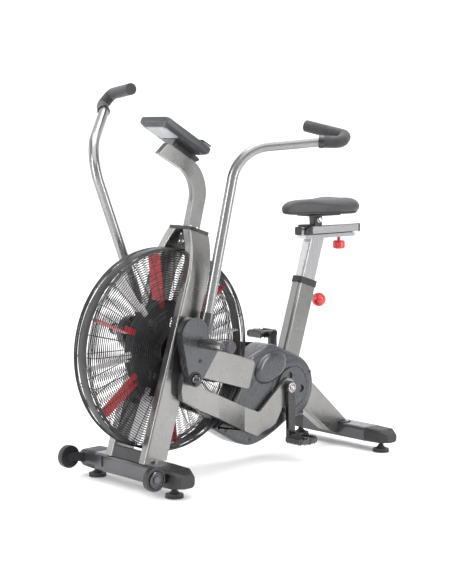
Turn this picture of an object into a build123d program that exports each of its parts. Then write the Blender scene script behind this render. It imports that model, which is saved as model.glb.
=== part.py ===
from build123d import *
import os
from math import acos, atan2, cos, radians, sin, tan

os.makedirs("parts", exist_ok=True)

# Lengths are millimetres. x is measured rearward from the fan axis, z up from the floor.
# The left side of the bike is at negative y.
fan_x = -296.5
fan_z = 430.0
side = Plane(origin=(fan_x, 0, 0), x_dir=(1, 0, 0), z_dir=(0, -1, 0))

# Base
front_foot_x = -119.5
front_foot_y = 192.5
rear_foot_x = 837.5
rear_foot_y = 197.0
front_beam_x = (-164.0, -74.0)
front_beam_z = (33.0, 93.0)
rear_beam_x = (800.0, 880.0)
rear_beam_z = (33.0, 83.0)
beam_half = 150.0
front_cap_end = 255.0
rear_cap_end = 248.0
tube_wall = 3.0
foot_radius = 29.0
foot_stem_radius = 5.0
wheel_x = -220.0
wheel_z = 76.6
wheel_radius = 37.3
wheel_width = 22.0
wheel_inner_y = 203.4
wheel_pin_radius = 6.0

# Uprights
lean = radians(17.7)
leg_front_x = -161.6
leg_foot_z = 93.0
leg_depth = 89.0
leg_inner_y = 66.0
leg_outer_y = 100.0
leg_straight = 590.0
leg_length = 755.0
leg_shift = 47.0

# Fan and cage
cage_radius = 325.0
cage_half = 53.5
wire = 3.0
ring_count = 13
first_ring = 52.0
last_ring = 300.0
spoke_count = 12
blade_inner = 158.0
blade_outer = 310.0
blade_half = 28.0
blade_thick = 2.5
red_angle = 36.4
grey_angle = 6.4
fan_shaft_radius = 10.0
running_gap = 0.05

# Crank and drive
crank_x = 537.5
crank_z = 246.5
crank_throw = 32.0
crank_pin_angle = 168.0
crank_pin_radius = 9.0
web_radius = 70.0
arm_inner_y = 67.5
arm_outer_y = 81.5
pedal_x = 509.0
pedal_z = 79.5
jack_x = 443.0
jack_z = 342.0
jack_radius = 8.0
crank_pulley_radius = 84.0
jack_small_radius = 28.0
jack_large_radius = 54.0
fan_pulley_radius = 21.6

# Swinging arms, measured from the pivot with the arm at mid travel: back, up, outward
pivot_x = 30.0
pivot_z = 463.0
swing = 15.7
peg_pin_radius = 12.0
lever_inner_y = 128.0
lever_outer_y = 158.0
tube_radius = 17.0
grip_radius = 19.5
arm_path = [(18, 40, 136), (5.9, 203, 144), (-18, 527.5, 160), (-22, 622, 164)]
arm_path += [(175, 701, 306), (219.8, 711.7, 367.4), (256.2, 742.3, 346.6), (221.6, 765.4, 196.8)]
arm_bends = [400, 600, 130, 60, 23, 23]

# Seat
seat_lean = radians(17.74)
seat_foot = (572.0, 362.0)
seat_tube_size = (82.0, 44.0)
seat_post_size = (70.0, 38.0)
rail_z = (750.0, 763.0)
slider_x = (618.0, 912.0)
slider_z = (763.3, 793.0)

pin_x = crank_x + crank_throw * cos(radians(crank_pin_angle))
pin_z = crank_z + crank_throw * sin(radians(crank_pin_angle))


def bar_y(x, z, radius, y_low, y_high, mode=Mode.ADD):
    """Round bar or hole along Y, in the part being built."""
    with BuildSketch(side.offset(-y_high)) as outline:
        with Locations((x, z)):
            Circle(radius)
    extrude(outline.sketch, amount=y_high - y_low, mode=mode)


def slab_y(points, corner, y_low, y_high, mode=Mode.ADD):
    """Flat shape with rounded corners, seen from the side, between two y values."""
    with BuildSketch(side.offset(-y_high)) as outline:
        with BuildLine():
            Polyline(*points, close=True)
        make_face()
        if corner > 0:
            fillet(outline.vertices(), corner)
    extrude(outline.sketch, amount=y_high - y_low, mode=mode)


def hull_y(x1, z1, r1, x2, z2, r2, y_low, y_high, mode=Mode.ADD):
    """Slab whose outline wraps two circles."""
    with BuildSketch(side.offset(-y_high)) as outline:
        with Locations((x1, z1)):
            Circle(r1)
        with Locations((x2, z2)):
            Circle(r2)
        make_hull()
    extrude(outline.sketch, amount=y_high - y_low, mode=mode)


def box_between(x, y, z, mode=Mode.ADD):
    """Box between two x, two y and two z values."""
    with BuildSketch(Plane.XY.offset(z[0])) as outline:
        with Locations((fan_x + (x[0] + x[1]) / 2, (y[0] + y[1]) / 2)):
            Rectangle(x[1] - x[0], y[1] - y[0])
    extrude(outline.sketch, amount=z[1] - z[0], mode=mode)


def beam_section(x, z, y, corner, shrink):
    """Rounded section of a cross beam in the XZ plane at height y."""
    with BuildSketch(side.offset(-y)) as outline:
        with Locations(((x[0] + x[1]) / 2, (z[0] + z[1]) / 2)):
            RectangleRounded(x[1] - x[0] - 2 * shrink, z[1] - z[0] - 2 * shrink, corner)
    return outline.sketch


def turned(part, angle):
    """Copy of a part on the left, mirrored to the right and swung about the arm pivot."""
    pivot = Axis((fan_x + pivot_x, 0, pivot_z), (0, 1, 0))
    return mirror(part, about=Plane.XZ, mode=Mode.PRIVATE).rotate(pivot, angle)


def arm_point(point):
    """Place a point of the left arm, given at mid travel, in its rest position."""
    back, up, out = point
    tilt = radians(swing)
    x = fan_x + pivot_x + cos(tilt) * back + sin(tilt) * up
    z = pivot_z - sin(tilt) * back + cos(tilt) * up
    return Vector(x, -out, z)


def bent_line(points, bends):
    """Wire through the points with an arc of the given radius at each inner point."""
    start = points[0]
    with BuildLine() as line:
        for corner, following, radius in zip(points[1:-1], points[2:], bends):
            before = (start - corner).normalized()
            after = (following - corner).normalized()
            half = acos(before.dot(after)) / 2
            reach = radius / tan(half)
            middle = (before + after).normalized() * (radius / sin(half) - radius)
            Line(start, corner + before * reach)
            ThreePointArc(corner + before * reach, corner + middle, corner + after * reach)
            start = corner + after * reach
        Line(start, points[-1])
    return line.wires()[0]


def seat_plane(height):
    """Plane square to the seat tube at a distance above its foot."""
    origin = (fan_x + seat_foot[0] + height * sin(seat_lean), 0, seat_foot[1] + height * cos(seat_lean))
    return Plane(origin=origin, x_dir=(cos(seat_lean), 0, -sin(seat_lean)),
                 z_dir=(sin(seat_lean), 0, cos(seat_lean)))


def seat_bar(size, corner, low, high, mode=Mode.ADD):
    """Rounded bar along the seat tube axis."""
    with BuildSketch(seat_plane(low)) as outline:
        RectangleRounded(size[0], size[1], corner)
    extrude(outline.sketch, amount=high - low, mode=mode)


# ---- Base ----
with BuildPart() as front_stabilizer:
    extrude(beam_section(front_beam_x, front_beam_z, beam_half, 12, 0), amount=2 * beam_half)
    extrude(beam_section(front_beam_x, front_beam_z, beam_half, 9, tube_wall), amount=2 * beam_half,
            mode=Mode.SUBTRACT)
    for hand in (-1, 1):
        wheel_ys = sorted((hand * 110, hand * 203))
        box_between((-168, -164), wheel_ys, (52, 84))
        ear_ys = sorted((hand * 199, hand * 203))
        slab_y([(-164.6, 52), (-164.6, 84), (-196, 90), (-232, 88), (-232, 64), (-204, 62)], 3, *ear_ys)
        bar_y(wheel_x, wheel_z, wheel_pin_radius, *sorted((hand * 203, hand * 226)))
        bar_y(wheel_x, wheel_z, 9.5, *sorted((hand * 225.8, hand * 230)))
front_stabilizer.part.label = "front_stabilizer"
export_step(front_stabilizer.part, "parts/front_stabilizer.step")

with BuildPart() as rear_stabilizer:
    extrude(beam_section(rear_beam_x, rear_beam_z, beam_half, 10, 0), amount=2 * beam_half)
    extrude(beam_section(rear_beam_x, rear_beam_z, beam_half, 7, tube_wall), amount=2 * beam_half,
            mode=Mode.SUBTRACT)
rear_stabilizer.part.label = "rear_stabilizer"
export_step(rear_stabilizer.part, "parts/rear_stabilizer.step")

with BuildPart() as stabilizer_caps:
    for beam_x, beam_z, cap_end, foot_x, foot_y in (
        (front_beam_x, front_beam_z, front_cap_end, front_foot_x, front_foot_y),
        (rear_beam_x, rear_beam_z, rear_cap_end, rear_foot_x, rear_foot_y),
    ):
        for hand in (-1, 1):
            with BuildSketch(Plane.XZ.offset(-hand * beam_half)) as cap_root:
                with Locations((fan_x + sum(beam_x) / 2, sum(beam_z) / 2)):
                    RectangleRounded(beam_x[1] - beam_x[0], beam_z[1] - beam_z[0], 12)
            with BuildSketch(Plane.XZ.offset(-hand * (beam_half + 70))) as cap_waist:
                with Locations((fan_x + sum(beam_x) / 2, sum(beam_z) / 2)):
                    RectangleRounded(beam_x[1] - beam_x[0] - 4, beam_z[1] - beam_z[0] - 3, 12)
            with BuildSketch(Plane.XZ.offset(-hand * cap_end)) as cap_tip:
                with Locations((fan_x + sum(beam_x) / 2, sum(beam_z) / 2 - 4)):
                    RectangleRounded(beam_x[1] - beam_x[0] - 34, beam_z[1] - beam_z[0] - 18, 14)
            loft([cap_root.sketch.faces()[0], cap_waist.sketch.faces()[0], cap_tip.sketch.faces()[0]],
                 ruled=True)
            with BuildSketch(Plane.XY.offset(beam_z[0] - 1)) as stem_hole:
                with Locations((fan_x + foot_x, hand * foot_y)):
                    Circle(foot_stem_radius + running_gap)
            extrude(stem_hole.sketch, amount=46, mode=Mode.SUBTRACT)
stabilizer_caps.part.label = "stabilizer_caps"
export_step(stabilizer_caps.part, "parts/stabilizer_caps.step")


def levelling_foot(foot_x, foot_y):
    """Round foot on a threaded stem that enters the end cap above it."""
    with BuildSketch(Plane.XY) as disc:
        with Locations((fan_x + foot_x, foot_y)):
            Circle(foot_radius)
    extrude(disc.sketch, amount=11, taper=4)
    with BuildSketch(Plane.XY.offset(11)) as neck:
        with Locations((fan_x + foot_x, foot_y)):
            Circle(18)
    extrude(neck.sketch, amount=8, taper=30)
    with BuildSketch(Plane.XY.offset(19)) as nut:
        with Locations((fan_x + foot_x, foot_y)):
            RegularPolygon(10, 6)
    extrude(nut.sketch, amount=7)
    with BuildSketch(Plane.XY.offset(26)) as stem:
        with Locations((fan_x + foot_x, foot_y)):
            Circle(foot_stem_radius)
    extrude(stem.sketch, amount=46)


with BuildPart() as front_left_foot:
    levelling_foot(front_foot_x, -front_foot_y)
front_left_foot.part.label = "front_left_foot"
export_step(front_left_foot.part, "parts/front_left_foot.step")

with BuildPart() as front_right_foot:
    levelling_foot(front_foot_x, front_foot_y)
front_right_foot.part.label = "front_right_foot"
export_step(front_right_foot.part, "parts/front_right_foot.step")

with BuildPart() as rear_left_foot:
    levelling_foot(rear_foot_x, -rear_foot_y)
rear_left_foot.part.label = "rear_left_foot"
export_step(rear_left_foot.part, "parts/rear_left_foot.step")

with BuildPart() as rear_right_foot:
    levelling_foot(rear_foot_x, rear_foot_y)
rear_right_foot.part.label = "rear_right_foot"
export_step(rear_right_foot.part, "parts/rear_right_foot.step")

with BuildPart() as left_wheel:
    bar_y(wheel_x, wheel_z, wheel_radius, -wheel_inner_y - wheel_width, -wheel_inner_y)
    fillet(left_wheel.edges().filter_by(GeomType.CIRCLE), 3)
    bar_y(wheel_x, wheel_z, wheel_radius - 8, -wheel_inner_y - 30, -wheel_inner_y - 19, mode=Mode.SUBTRACT)
    bar_y(wheel_x, wheel_z, 12, -wheel_inner_y - wheel_width, -wheel_inner_y - 15)
    bar_y(wheel_x, wheel_z, wheel_pin_radius + running_gap, -240, -200, mode=Mode.SUBTRACT)
left_wheel.part.label = "left_wheel"
export_step(left_wheel.part, "parts/left_wheel.step")

with BuildPart() as right_wheel:
    mirror(left_wheel.part, about=Plane.XZ)
right_wheel.part.label = "right_wheel"
export_step(right_wheel.part, "parts/right_wheel.step")

# ---- Uprights ----
leg_plane = Plane(origin=(fan_x + leg_front_x, 0, leg_foot_z), x_dir=(0, 1, 0),
                  z_dir=(cos(lean), 0, -sin(lean)))
leg_rise = leg_length - leg_straight
leg_bend = (leg_shift ** 2 + leg_rise ** 2) / (2 * leg_shift)
leg_turn = 2 * atan2(leg_shift, leg_rise)
leg_mid_y = (leg_inner_y + leg_outer_y) / 2


def leg_outline(plane, inset):
    """Outline of the left upright in its leaning plane, moved inward by a wall thickness."""
    low = -80.0
    outer = leg_outer_y - inset
    inner = leg_inner_y + inset
    big = leg_bend + (leg_outer_y - leg_mid_y) - inset
    small = leg_bend - (leg_mid_y - leg_inner_y) + inset
    centre = leg_bend - leg_mid_y
    turn = leg_turn + 0.12
    outer_end = (centre - big * cos(turn), leg_straight + big * sin(turn))
    inner_end = (centre - small * cos(turn), leg_straight + small * sin(turn))
    with BuildSketch(plane) as outline:
        with BuildLine():
            Line((-outer, low), (-outer, leg_straight))
            TangentArc((-outer, leg_straight), outer_end, tangent=(0, 1))
            Line(outer_end, inner_end)
            TangentArc((-inner, leg_straight), inner_end, tangent=(0, 1))
            Line((-inner, leg_straight), (-inner, low))
            Line((-inner, low), (-outer, low))
        make_face()
        with Locations((-60, leg_length - inset + 60)):
            Rectangle(180, 120, mode=Mode.SUBTRACT)
    return outline.sketch


with BuildPart() as left_upright:
    extrude(leg_outline(leg_plane, 0), amount=leg_depth)
    long_edges = [edge for edge in left_upright.edges() if edge.length > 200]
    fillet(long_edges, 7)
    extrude(leg_outline(leg_plane.offset(tube_wall), tube_wall), amount=leg_depth - 2 * tube_wall,
            mode=Mode.SUBTRACT)
    split(bisect_by=Plane.XY.offset(leg_foot_z), keep=Keep.TOP)
    bar_y(0, fan_z, 22, -leg_outer_y - 1, -leg_inner_y + 1, mode=Mode.SUBTRACT)
left_upright.part.label = "left_upright"
export_step(left_upright.part, "parts/left_upright.step")

with BuildPart() as right_upright:
    mirror(left_upright.part, about=Plane.XZ)
right_upright.part.label = "right_upright"
export_step(right_upright.part, "parts/right_upright.step")

with BuildPart() as upright_brace:
    slab_y([(-158, leg_foot_z), (-80, leg_foot_z), (-80, 101.5), (-140, 128), (-147, 128)], 0,
           -leg_inner_y, leg_inner_y)
upright_brace.part.label = "upright_brace"
export_step(upright_brace.part, "parts/upright_brace.step")

# ---- Display mast ----
with BuildPart() as display_mast:
    with BuildSketch(side.offset(-12)) as mast_outline:
        with BuildLine():
            Polyline((80, 760), (136.6, 970.4), (-22, 1055), (18, 1088), (200.2, 990), (137, 760), close=True)
        make_face()
        fillet(mast_outline.vertices().sort_by_distance((136.6, 970.4, 0))[0], 92)
        fillet(mast_outline.vertices().sort_by_distance((200.2, 990, 0))[0], 125)
    extrude(mast_outline.sketch, amount=24)
    with BuildSketch(side.offset(-9)) as mast_core:
        add(mast_outline.sketch_local)
        offset(amount=-tube_wall, mode=Mode.REPLACE)
    extrude(mast_core.sketch, amount=18, mode=Mode.SUBTRACT)
    with BuildSketch(Plane.XY.offset(755)) as vent:
        with Locations((fan_x + 108, 0)):
            Circle(5)
    extrude(vent.sketch, amount=12, mode=Mode.SUBTRACT)
display_mast.part.label = "display_mast"
export_step(display_mast.part, "parts/display_mast.step")

with BuildPart() as upright_cap:
    top_plane = Plane(origin=(fan_x + leg_front_x + sin(lean) * leg_length, 0,
                              leg_foot_z + cos(lean) * leg_length),
                      x_dir=(cos(lean), 0, -sin(lean)), z_dir=(sin(lean), 0, cos(lean)))
    with BuildSketch(top_plane):
        with Locations((leg_depth / 2, 0)):
            RectangleRounded(leg_depth, 112, 14)
    extrude(amount=12)
    for low in (-15, 12):
        slab_y([(82, 764), (133, 748), (149, 788), (93, 806)], 4, low, low + 3)
    slab_y([(80, 760), (137, 760), (181, 920), (123, 920)], 0, -12, 12, mode=Mode.SUBTRACT)
upright_cap.part.label = "upright_cap"
export_step(upright_cap.part, "parts/upright_cap.step")

# ---- Console ----
console_top = Plane(origin=(fan_x + 62.5, 0, 1119), x_dir=(0.8716, 0, -0.4902), z_dir=(0.4902, 0, 0.8716))
console_depth = 30.0
with BuildPart() as console_body:
    with BuildSketch(console_top.offset(-console_depth)):
        RectangleRounded(212, 116, 12)
    extrude(amount=console_depth)
    fillet(console_body.faces().sort_by(Axis.Z)[-1].edges(), 4)
    with BuildSketch(console_top.offset(-1)):
        with Locations((97, 0)):
            RectangleRounded(9, 96, 3)
    extrude(amount=13)
    with BuildSketch(console_top.offset(-2)):
        with Locations((-12, 0)):
            RectangleRounded(150, 92, 6)
    extrude(amount=4, mode=Mode.SUBTRACT)
console_body.part.label = "console_body"
export_step(console_body.part, "parts/console_body.step")

with BuildPart() as console_screen:
    with BuildSketch(console_top.offset(-2)):
        with Locations((-12, 0)):
            RectangleRounded(150, 92, 6)
    extrude(amount=1.6)
console_screen.part.label = "console_screen"
export_step(console_screen.part, "parts/console_screen.step")

with BuildPart() as console_bracket:
    with BuildSketch(console_top.offset(-console_depth - 3)):
        with Locations((28, 0)):
            RectangleRounded(92, 70, 6)
    extrude(amount=3)
    slab_y([(58, 1101), (128, 1061), (150, 1030), (120, 1020), (50, 1060)], 0, -11, 11)
    slab_y([(66, 1104), (160, 1048), (160, 1100), (66, 1140)], 0, -60, 60, mode=Mode.SUBTRACT)
    with BuildSketch(console_top.offset(-console_depth)):
        Rectangle(240, 140)
    extrude(amount=40, mode=Mode.SUBTRACT)
    add(extrude(mast_outline.sketch, amount=24, mode=Mode.PRIVATE), mode=Mode.SUBTRACT)
console_bracket.part.label = "console_bracket"
export_step(console_bracket.part, "parts/console_bracket.step")

# ---- Side members ----
leg_rear_x = leg_front_x + leg_depth / cos(lean)
member_low = (leg_rear_x + tan(lean) * (357.5 - leg_foot_z), 357.5)
member_high = (leg_rear_x + tan(lean) * (459.7 - leg_foot_z), 459.7)
with BuildPart() as left_side_member:
    slab_y([member_low, member_high, (202, 407), (322, 367), (293, 274), (90, 335)], 0, -96, -66)
    rear_edges = left_side_member.edges().filter_by(Axis.Y).sort_by(Axis.X)[-2:]
    fillet(rear_edges, 14)
    outer_loop = left_side_member.edges().filter_by_position(Axis.Y, -96.5, -95.5)
    fillet([edge for edge in outer_loop if edge.center().X > fan_x + 40], 4)
    slab_y([(0, 366), (60, 446), (202, 401), (306, 363), (286, 286), (90, 343)], 0, -92, -69,
           mode=Mode.SUBTRACT)
left_side_member.part.label = "left_side_member"
export_step(left_side_member.part, "parts/left_side_member.step")

with BuildPart() as right_side_member:
    mirror(left_side_member.part, about=Plane.XZ)
right_side_member.part.label = "right_side_member"
export_step(right_side_member.part, "parts/right_side_member.step")

# ---- Rear backbone ----
with BuildPart() as rear_backbone:
    slab_y([(637, 275), (679, 238), (855, 83), (800, 83), (800, 44), (742, 65), (613, 164)], 0, -25, 25)
    long_edges = [edge for edge in rear_backbone.edges() if edge.length > 150]
    fillet(long_edges, 8)
    slab_y([(625, 262), (674, 232), (838, 86), (797, 86), (797, 52), (744, 70), (612, 172)], 0, -22, 22,
           mode=Mode.SUBTRACT)
rear_backbone.part.label = "rear_backbone"
export_step(rear_backbone.part, "parts/rear_backbone.step")

# ---- Frame spine with bottom bracket, inside the shroud ----
with BuildPart() as bottom_bracket_shell:
    slab_y([(303, 284), (309, 303), (425, 366), (462, 366), (525.3, 350.6), (603.3, 325.6), (634.2, 262),
            (616.1, 178), (560, 205), (500, 215), (425, 300)], 0, -24, -4)
    slab_y([(297.2, 287.4), (304.3, 310.3), (315.8, 306.7), (308.7, 283.8)], 0, -94, 94)
    bar_y(crank_x, crank_z, 24, -44, 4)
    bar_y(jack_x, jack_z, 20, -28, -4)
    bar_y(crank_x, crank_z, 20, -45, 5, mode=Mode.SUBTRACT)
    bar_y(jack_x, jack_z, 16, -29, -3, mode=Mode.SUBTRACT)
bottom_bracket_shell.part.label = "bottom_bracket_shell"
export_step(bottom_bracket_shell.part, "parts/bottom_bracket_shell.step")

with BuildPart() as shaft_bearings:
    for low, high in ((-44, -34), (-6, 4)):
        bar_y(crank_x, crank_z, 20, low, high)
        bar_y(crank_x, crank_z, fan_shaft_radius + running_gap, low, high, mode=Mode.SUBTRACT)
    for low, high in ((-28, -20), (-12, -4)):
        bar_y(jack_x, jack_z, 16, low, high)
        bar_y(jack_x, jack_z, jack_radius + running_gap, low, high, mode=Mode.SUBTRACT)
    for low, high in ((-97, -66), (66, 97)):
        bar_y(0, fan_z, 22, low, high)
        bar_y(0, fan_z, fan_shaft_radius + running_gap, low, high, mode=Mode.SUBTRACT)
shaft_bearings.part.label = "shaft_bearings"
export_step(shaft_bearings.part, "parts/shaft_bearings.step")

# ---- Drive belts and guard ----
with BuildPart() as drive_belts:
    gap = 0.3
    hull_y(crank_x, crank_z, crank_pulley_radius + 2.3, jack_x, jack_z, jack_small_radius + 2.3, 7, 15)
    hull_y(crank_x, crank_z, crank_pulley_radius + gap, jack_x, jack_z, jack_small_radius + gap, 7, 15,
           mode=Mode.SUBTRACT)
    hull_y(jack_x, jack_z, jack_large_radius + 2.3, 0, fan_z, fan_pulley_radius + 2.3, 55.5, 63.5)
    hull_y(jack_x, jack_z, jack_large_radius + gap, 0, fan_z, fan_pulley_radius + gap, 55.5, 63.5,
           mode=Mode.SUBTRACT)
drive_belts.part.label = "drive_belts"
export_step(drive_belts.part, "parts/drive_belts.step")

with BuildPart() as belt_guard:
    hull_y(jack_x, jack_z, jack_large_radius + 5, 0, fan_z, fan_pulley_radius + 6, 54.2, 66)
    hull_y(jack_x, jack_z, jack_large_radius + 3.8, 0, fan_z, fan_pulley_radius + 4.8, 53, 64.9,
           mode=Mode.SUBTRACT)
    bar_y(0, fan_z, 12, 60, 70, mode=Mode.SUBTRACT)
belt_guard.part.label = "belt_guard"
export_step(belt_guard.part, "parts/belt_guard.step")

# ---- Shroud ----
with BuildPart() as left_shroud:
    with BuildSketch(side) as shroud_outline:
        with BuildLine():
            Polyline((182, 147), (295, 83), (351, 68), (412, 80), (493, 113), (535, 133.6), (560, 246),
                     (581.7, 350.5), (467.2, 399.1), (425, 401), (325, 366), (250, 320), close=True)
        make_face()
        with Locations((crank_x, crank_z)):
            Circle(113)
        with Locations((jack_x, jack_z)):
            Circle(62)
        with Locations((0, fan_z)):
            Circle(332, mode=Mode.SUBTRACT)
    extrude(shroud_outline.sketch, amount=48)
    with BuildSketch(side.offset(-1)) as shroud_core:
        add(shroud_outline.sketch_local)
        offset(amount=-2.5, mode=Mode.REPLACE)
    extrude(shroud_core.sketch, amount=46.5, mode=Mode.SUBTRACT)
    seat_bar((seat_tube_size[0] + 1, seat_tube_size[1] + 1), 11, -40, 80, mode=Mode.SUBTRACT)
    slab_y([(600, 308), (679, 238.6), (760, 167), (742, 64.4), (613, 163.4), (580, 180)], 0, -25.5, 26,
           mode=Mode.SUBTRACT)
    slab_y([(296, 287), (303.5, 311.5), (317, 307.5), (309.5, 283)], 0, -95, 95, mode=Mode.SUBTRACT)
    bar_y(crank_x, crank_z, 24.4, -49, 1, mode=Mode.SUBTRACT)
left_shroud.part.label = "left_shroud"
export_step(left_shroud.part, "parts/left_shroud.step")

with BuildPart() as right_shroud:
    mirror(left_shroud.part, about=Plane.XZ)
    bar_y(jack_x, jack_z, 10, 40, 50, mode=Mode.SUBTRACT)
right_shroud.part.label = "right_shroud"
export_step(right_shroud.part, "parts/right_shroud.step")

# ---- Cage ----
with BuildPart() as left_grille:
    with BuildSketch(side.offset(cage_half - wire)) as rings:
        for number in range(ring_count):
            middle = first_ring + (last_ring - first_ring) * number / (ring_count - 1)
            with Locations((0, fan_z)):
                Circle(middle + wire / 2)
                Circle(middle - wire / 2, mode=Mode.SUBTRACT)
    extrude(rings.sketch, amount=wire)
    with BuildSketch(side.offset(cage_half - wire)) as spokes:
        with Locations((0, fan_z)):
            with PolarLocations((first_ring + last_ring) / 2, spoke_count):
                Rectangle(last_ring - first_ring, wire)
            Circle(first_ring)
            Circle(30, mode=Mode.SUBTRACT)
    extrude(spokes.sketch, amount=wire)
    for reach in (-178, 155):
        bar_y(reach * sin(lean) - 8, fan_z + reach * cos(lean), 9, -leg_inner_y, -cage_half + wire)
left_grille.part.label = "left_grille"
export_step(left_grille.part, "parts/left_grille.step")

with BuildPart() as right_grille:
    mirror(left_grille.part, about=Plane.XZ)
right_grille.part.label = "right_grille"
export_step(right_grille.part, "parts/right_grille.step")

with BuildPart() as cage_rim:
    for number in range(spoke_count):
        angle = 360.0 * number / spoke_count
        bar_plane = Plane(origin=(fan_x, 0, fan_z), x_dir=(cos(radians(angle)), 0, sin(radians(angle))),
                          z_dir=(-sin(radians(angle)), 0, cos(radians(angle))))
        with BuildSketch(bar_plane.offset(-wire / 2)) as bar:
            with BuildLine():
                Polyline((325, -44), (325, 44), (318, 51), (301.5, 53.5), (301.5, 50.5), (316, 48),
                         (322, 42), (322, -42), (316, -48), (301.5, -50.5), (301.5, -53.5), (318, -51),
                         close=True)
            make_face()
        extrude(bar.sketch, amount=wire)
    for hoop_radius, low, high in ((325, -18, 18), (325, 29, 32), (325, -32, -29), (325, 41, 44),
                                   (325, -44, -41), (311, 49, 52), (311, -52, -49)):
        bar_y(0, fan_z, hoop_radius, low, high)
        bar_y(0, fan_z, hoop_radius - 3, low, high, mode=Mode.SUBTRACT)
cage_rim.part.label = "cage_rim"
export_step(cage_rim.part, "parts/cage_rim.step")

# ---- Fan ----
with BuildPart() as fan_shaft:
    bar_y(0, fan_z, fan_shaft_radius, -96, 96)
    bar_y(0, fan_z, fan_pulley_radius, 54.5, 64.5)
fan_shaft.part.label = "fan_shaft"
export_step(fan_shaft.part, "parts/fan_shaft.step")

with BuildPart() as fan_disc:
    bar_y(0, fan_z, blade_inner, -2, 2)
    bar_y(0, fan_z, 34, -blade_half, blade_half)
    with BuildSketch(side.offset(3)) as lightening:
        with Locations((0, fan_z)):
            with PolarLocations(92, 6):
                Circle(20)
    extrude(lightening.sketch, amount=-6, mode=Mode.SUBTRACT)
    bar_y(0, fan_z, fan_shaft_radius, -30, 30, mode=Mode.SUBTRACT)
fan_disc.part.label = "fan_disc"
export_step(fan_disc.part, "parts/fan_disc.step")


def paddles(first_angle):
    """Six flat paddles with a mounting foot each, standing square to the fan's rotation."""
    for number in range(6):
        angle = radians(first_angle + 60 * number)
        radial = Vector(cos(angle), 0, sin(angle))
        across = Vector(-sin(angle), 0, cos(angle))
        hub = Vector(fan_x, 0, fan_z)
        face = Plane(origin=hub, x_dir=radial, z_dir=across)
        with BuildSketch(face) as blade:
            with Locations(((blade_inner + blade_outer) / 2, 0)):
                RectangleRounded(blade_outer - blade_inner, 2 * blade_half, 6)
        extrude(blade.sketch, amount=blade_thick)
        foot = Plane(origin=hub + Vector(0, -2, 0), x_dir=radial, z_dir=(0, -1, 0))
        with BuildSketch(foot) as flange:
            with Locations((blade_inner - 2, -blade_thick - 8)):
                RectangleRounded(44, 20, 3)
            with Locations((blade_inner + 6, -blade_thick / 2)):
                Rectangle(12, blade_thick)
        extrude(flange.sketch, amount=2)


with BuildPart() as red_blades:
    paddles(red_angle)
red_blades.part.label = "red_blades"
export_step(red_blades.part, "parts/red_blades.step")

with BuildPart() as grey_blades:
    paddles(grey_angle)
grey_blades.part.label = "grey_blades"
export_step(grey_blades.part, "parts/grey_blades.step")

# ---- Intermediate shaft and crank ----
with BuildPart() as jackshaft:
    bar_y(jack_x, jack_z, jack_radius, -30, 64.5)
    bar_y(jack_x, jack_z, jack_small_radius, 6, 16)
    bar_y(jack_x, jack_z, jack_large_radius, 54.5, 64.5)
jackshaft.part.label = "jackshaft"
export_step(jackshaft.part, "parts/jackshaft.step")

with BuildPart() as crank_axle:
    bar_y(crank_x, crank_z, 10, -50, 50)
    for hand in (-1, 1):
        bar_y(crank_x, crank_z, web_radius, *sorted((hand * 49, hand * 54)))
        for turn in (48, 168, 288):
            hole_angle = radians(turn + 60)
            bar_y(crank_x + 44 * cos(hole_angle), crank_z + 44 * sin(hole_angle), 13,
                  *sorted((hand * 48, hand * 55)), mode=Mode.SUBTRACT)
    bar_y(pin_x, pin_z, crank_pin_radius, -arm_outer_y, -53)
    bar_y(2 * crank_x - pin_x, 2 * crank_z - pin_z, crank_pin_radius, 53, arm_outer_y)
crank_axle.part.label = "crank_axle"
export_step(crank_axle.part, "parts/crank_axle.step")

with BuildPart() as crank_pulley:
    bar_y(crank_x, crank_z, crank_pulley_radius, 6, 16)
    for hand in (5, 13):
        bar_y(crank_x, crank_z, crank_pulley_radius - 10, hand, hand + 4, mode=Mode.SUBTRACT)
    bar_y(crank_x, crank_z, 22, 6, 16)
    bar_y(crank_x, crank_z, 10, 5, 17, mode=Mode.SUBTRACT)
crank_pulley.part.label = "crank_pulley"
export_step(crank_pulley.part, "parts/crank_pulley.step")

with BuildPart() as left_crank_arm:
    hull_y(pin_x, pin_z, 17, pedal_x, pedal_z, 15, -arm_outer_y, -arm_inner_y)
    bar_y(pin_x, pin_z, 21, -arm_outer_y, -arm_inner_y)
    bar_y(pedal_x, pedal_z, 7, -160, -arm_outer_y)
    bar_y(pin_x, pin_z, crank_pin_radius, -arm_outer_y, -arm_inner_y, mode=Mode.SUBTRACT)
left_crank_arm.part.label = "left_crank_arm"
export_step(left_crank_arm.part, "parts/left_crank_arm.step")

with BuildPart() as right_crank_arm:
    crank_line = Axis((fan_x + crank_x, 0, crank_z), (0, 1, 0))
    add(mirror(left_crank_arm.part, about=Plane.XZ, mode=Mode.PRIVATE).rotate(crank_line, 180))
right_crank_arm.part.label = "right_crank_arm"
export_step(right_crank_arm.part, "parts/right_crank_arm.step")

with BuildPart() as left_pedal:
    box_between((pedal_x - 40, pedal_x + 40), (-168, -84), (pedal_z - 11, pedal_z + 11))
    fillet(left_pedal.edges().filter_by(Axis.Z), 10)
    for shift in (-24, 24):
        for middle in (-146, -106):
            box_between((pedal_x + shift - 9, pedal_x + shift + 9), (middle - 16, middle + 16),
                        (pedal_z - 20, pedal_z + 20), mode=Mode.SUBTRACT)
    bar_y(pedal_x, pedal_z, 14, -168, -84)
    bar_y(pedal_x, pedal_z, 7 + running_gap, -161, -83, mode=Mode.SUBTRACT)
left_pedal.part.label = "left_pedal"
export_step(left_pedal.part, "parts/left_pedal.step")

with BuildPart() as right_pedal:
    right_shift = (2 * (crank_x - pedal_x), 0, 2 * (crank_z - pedal_z))
    add(mirror(left_pedal.part, about=Plane.XZ, mode=Mode.PRIVATE).translate(right_shift))
right_pedal.part.label = "right_pedal"
export_step(right_pedal.part, "parts/right_pedal.step")

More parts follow.
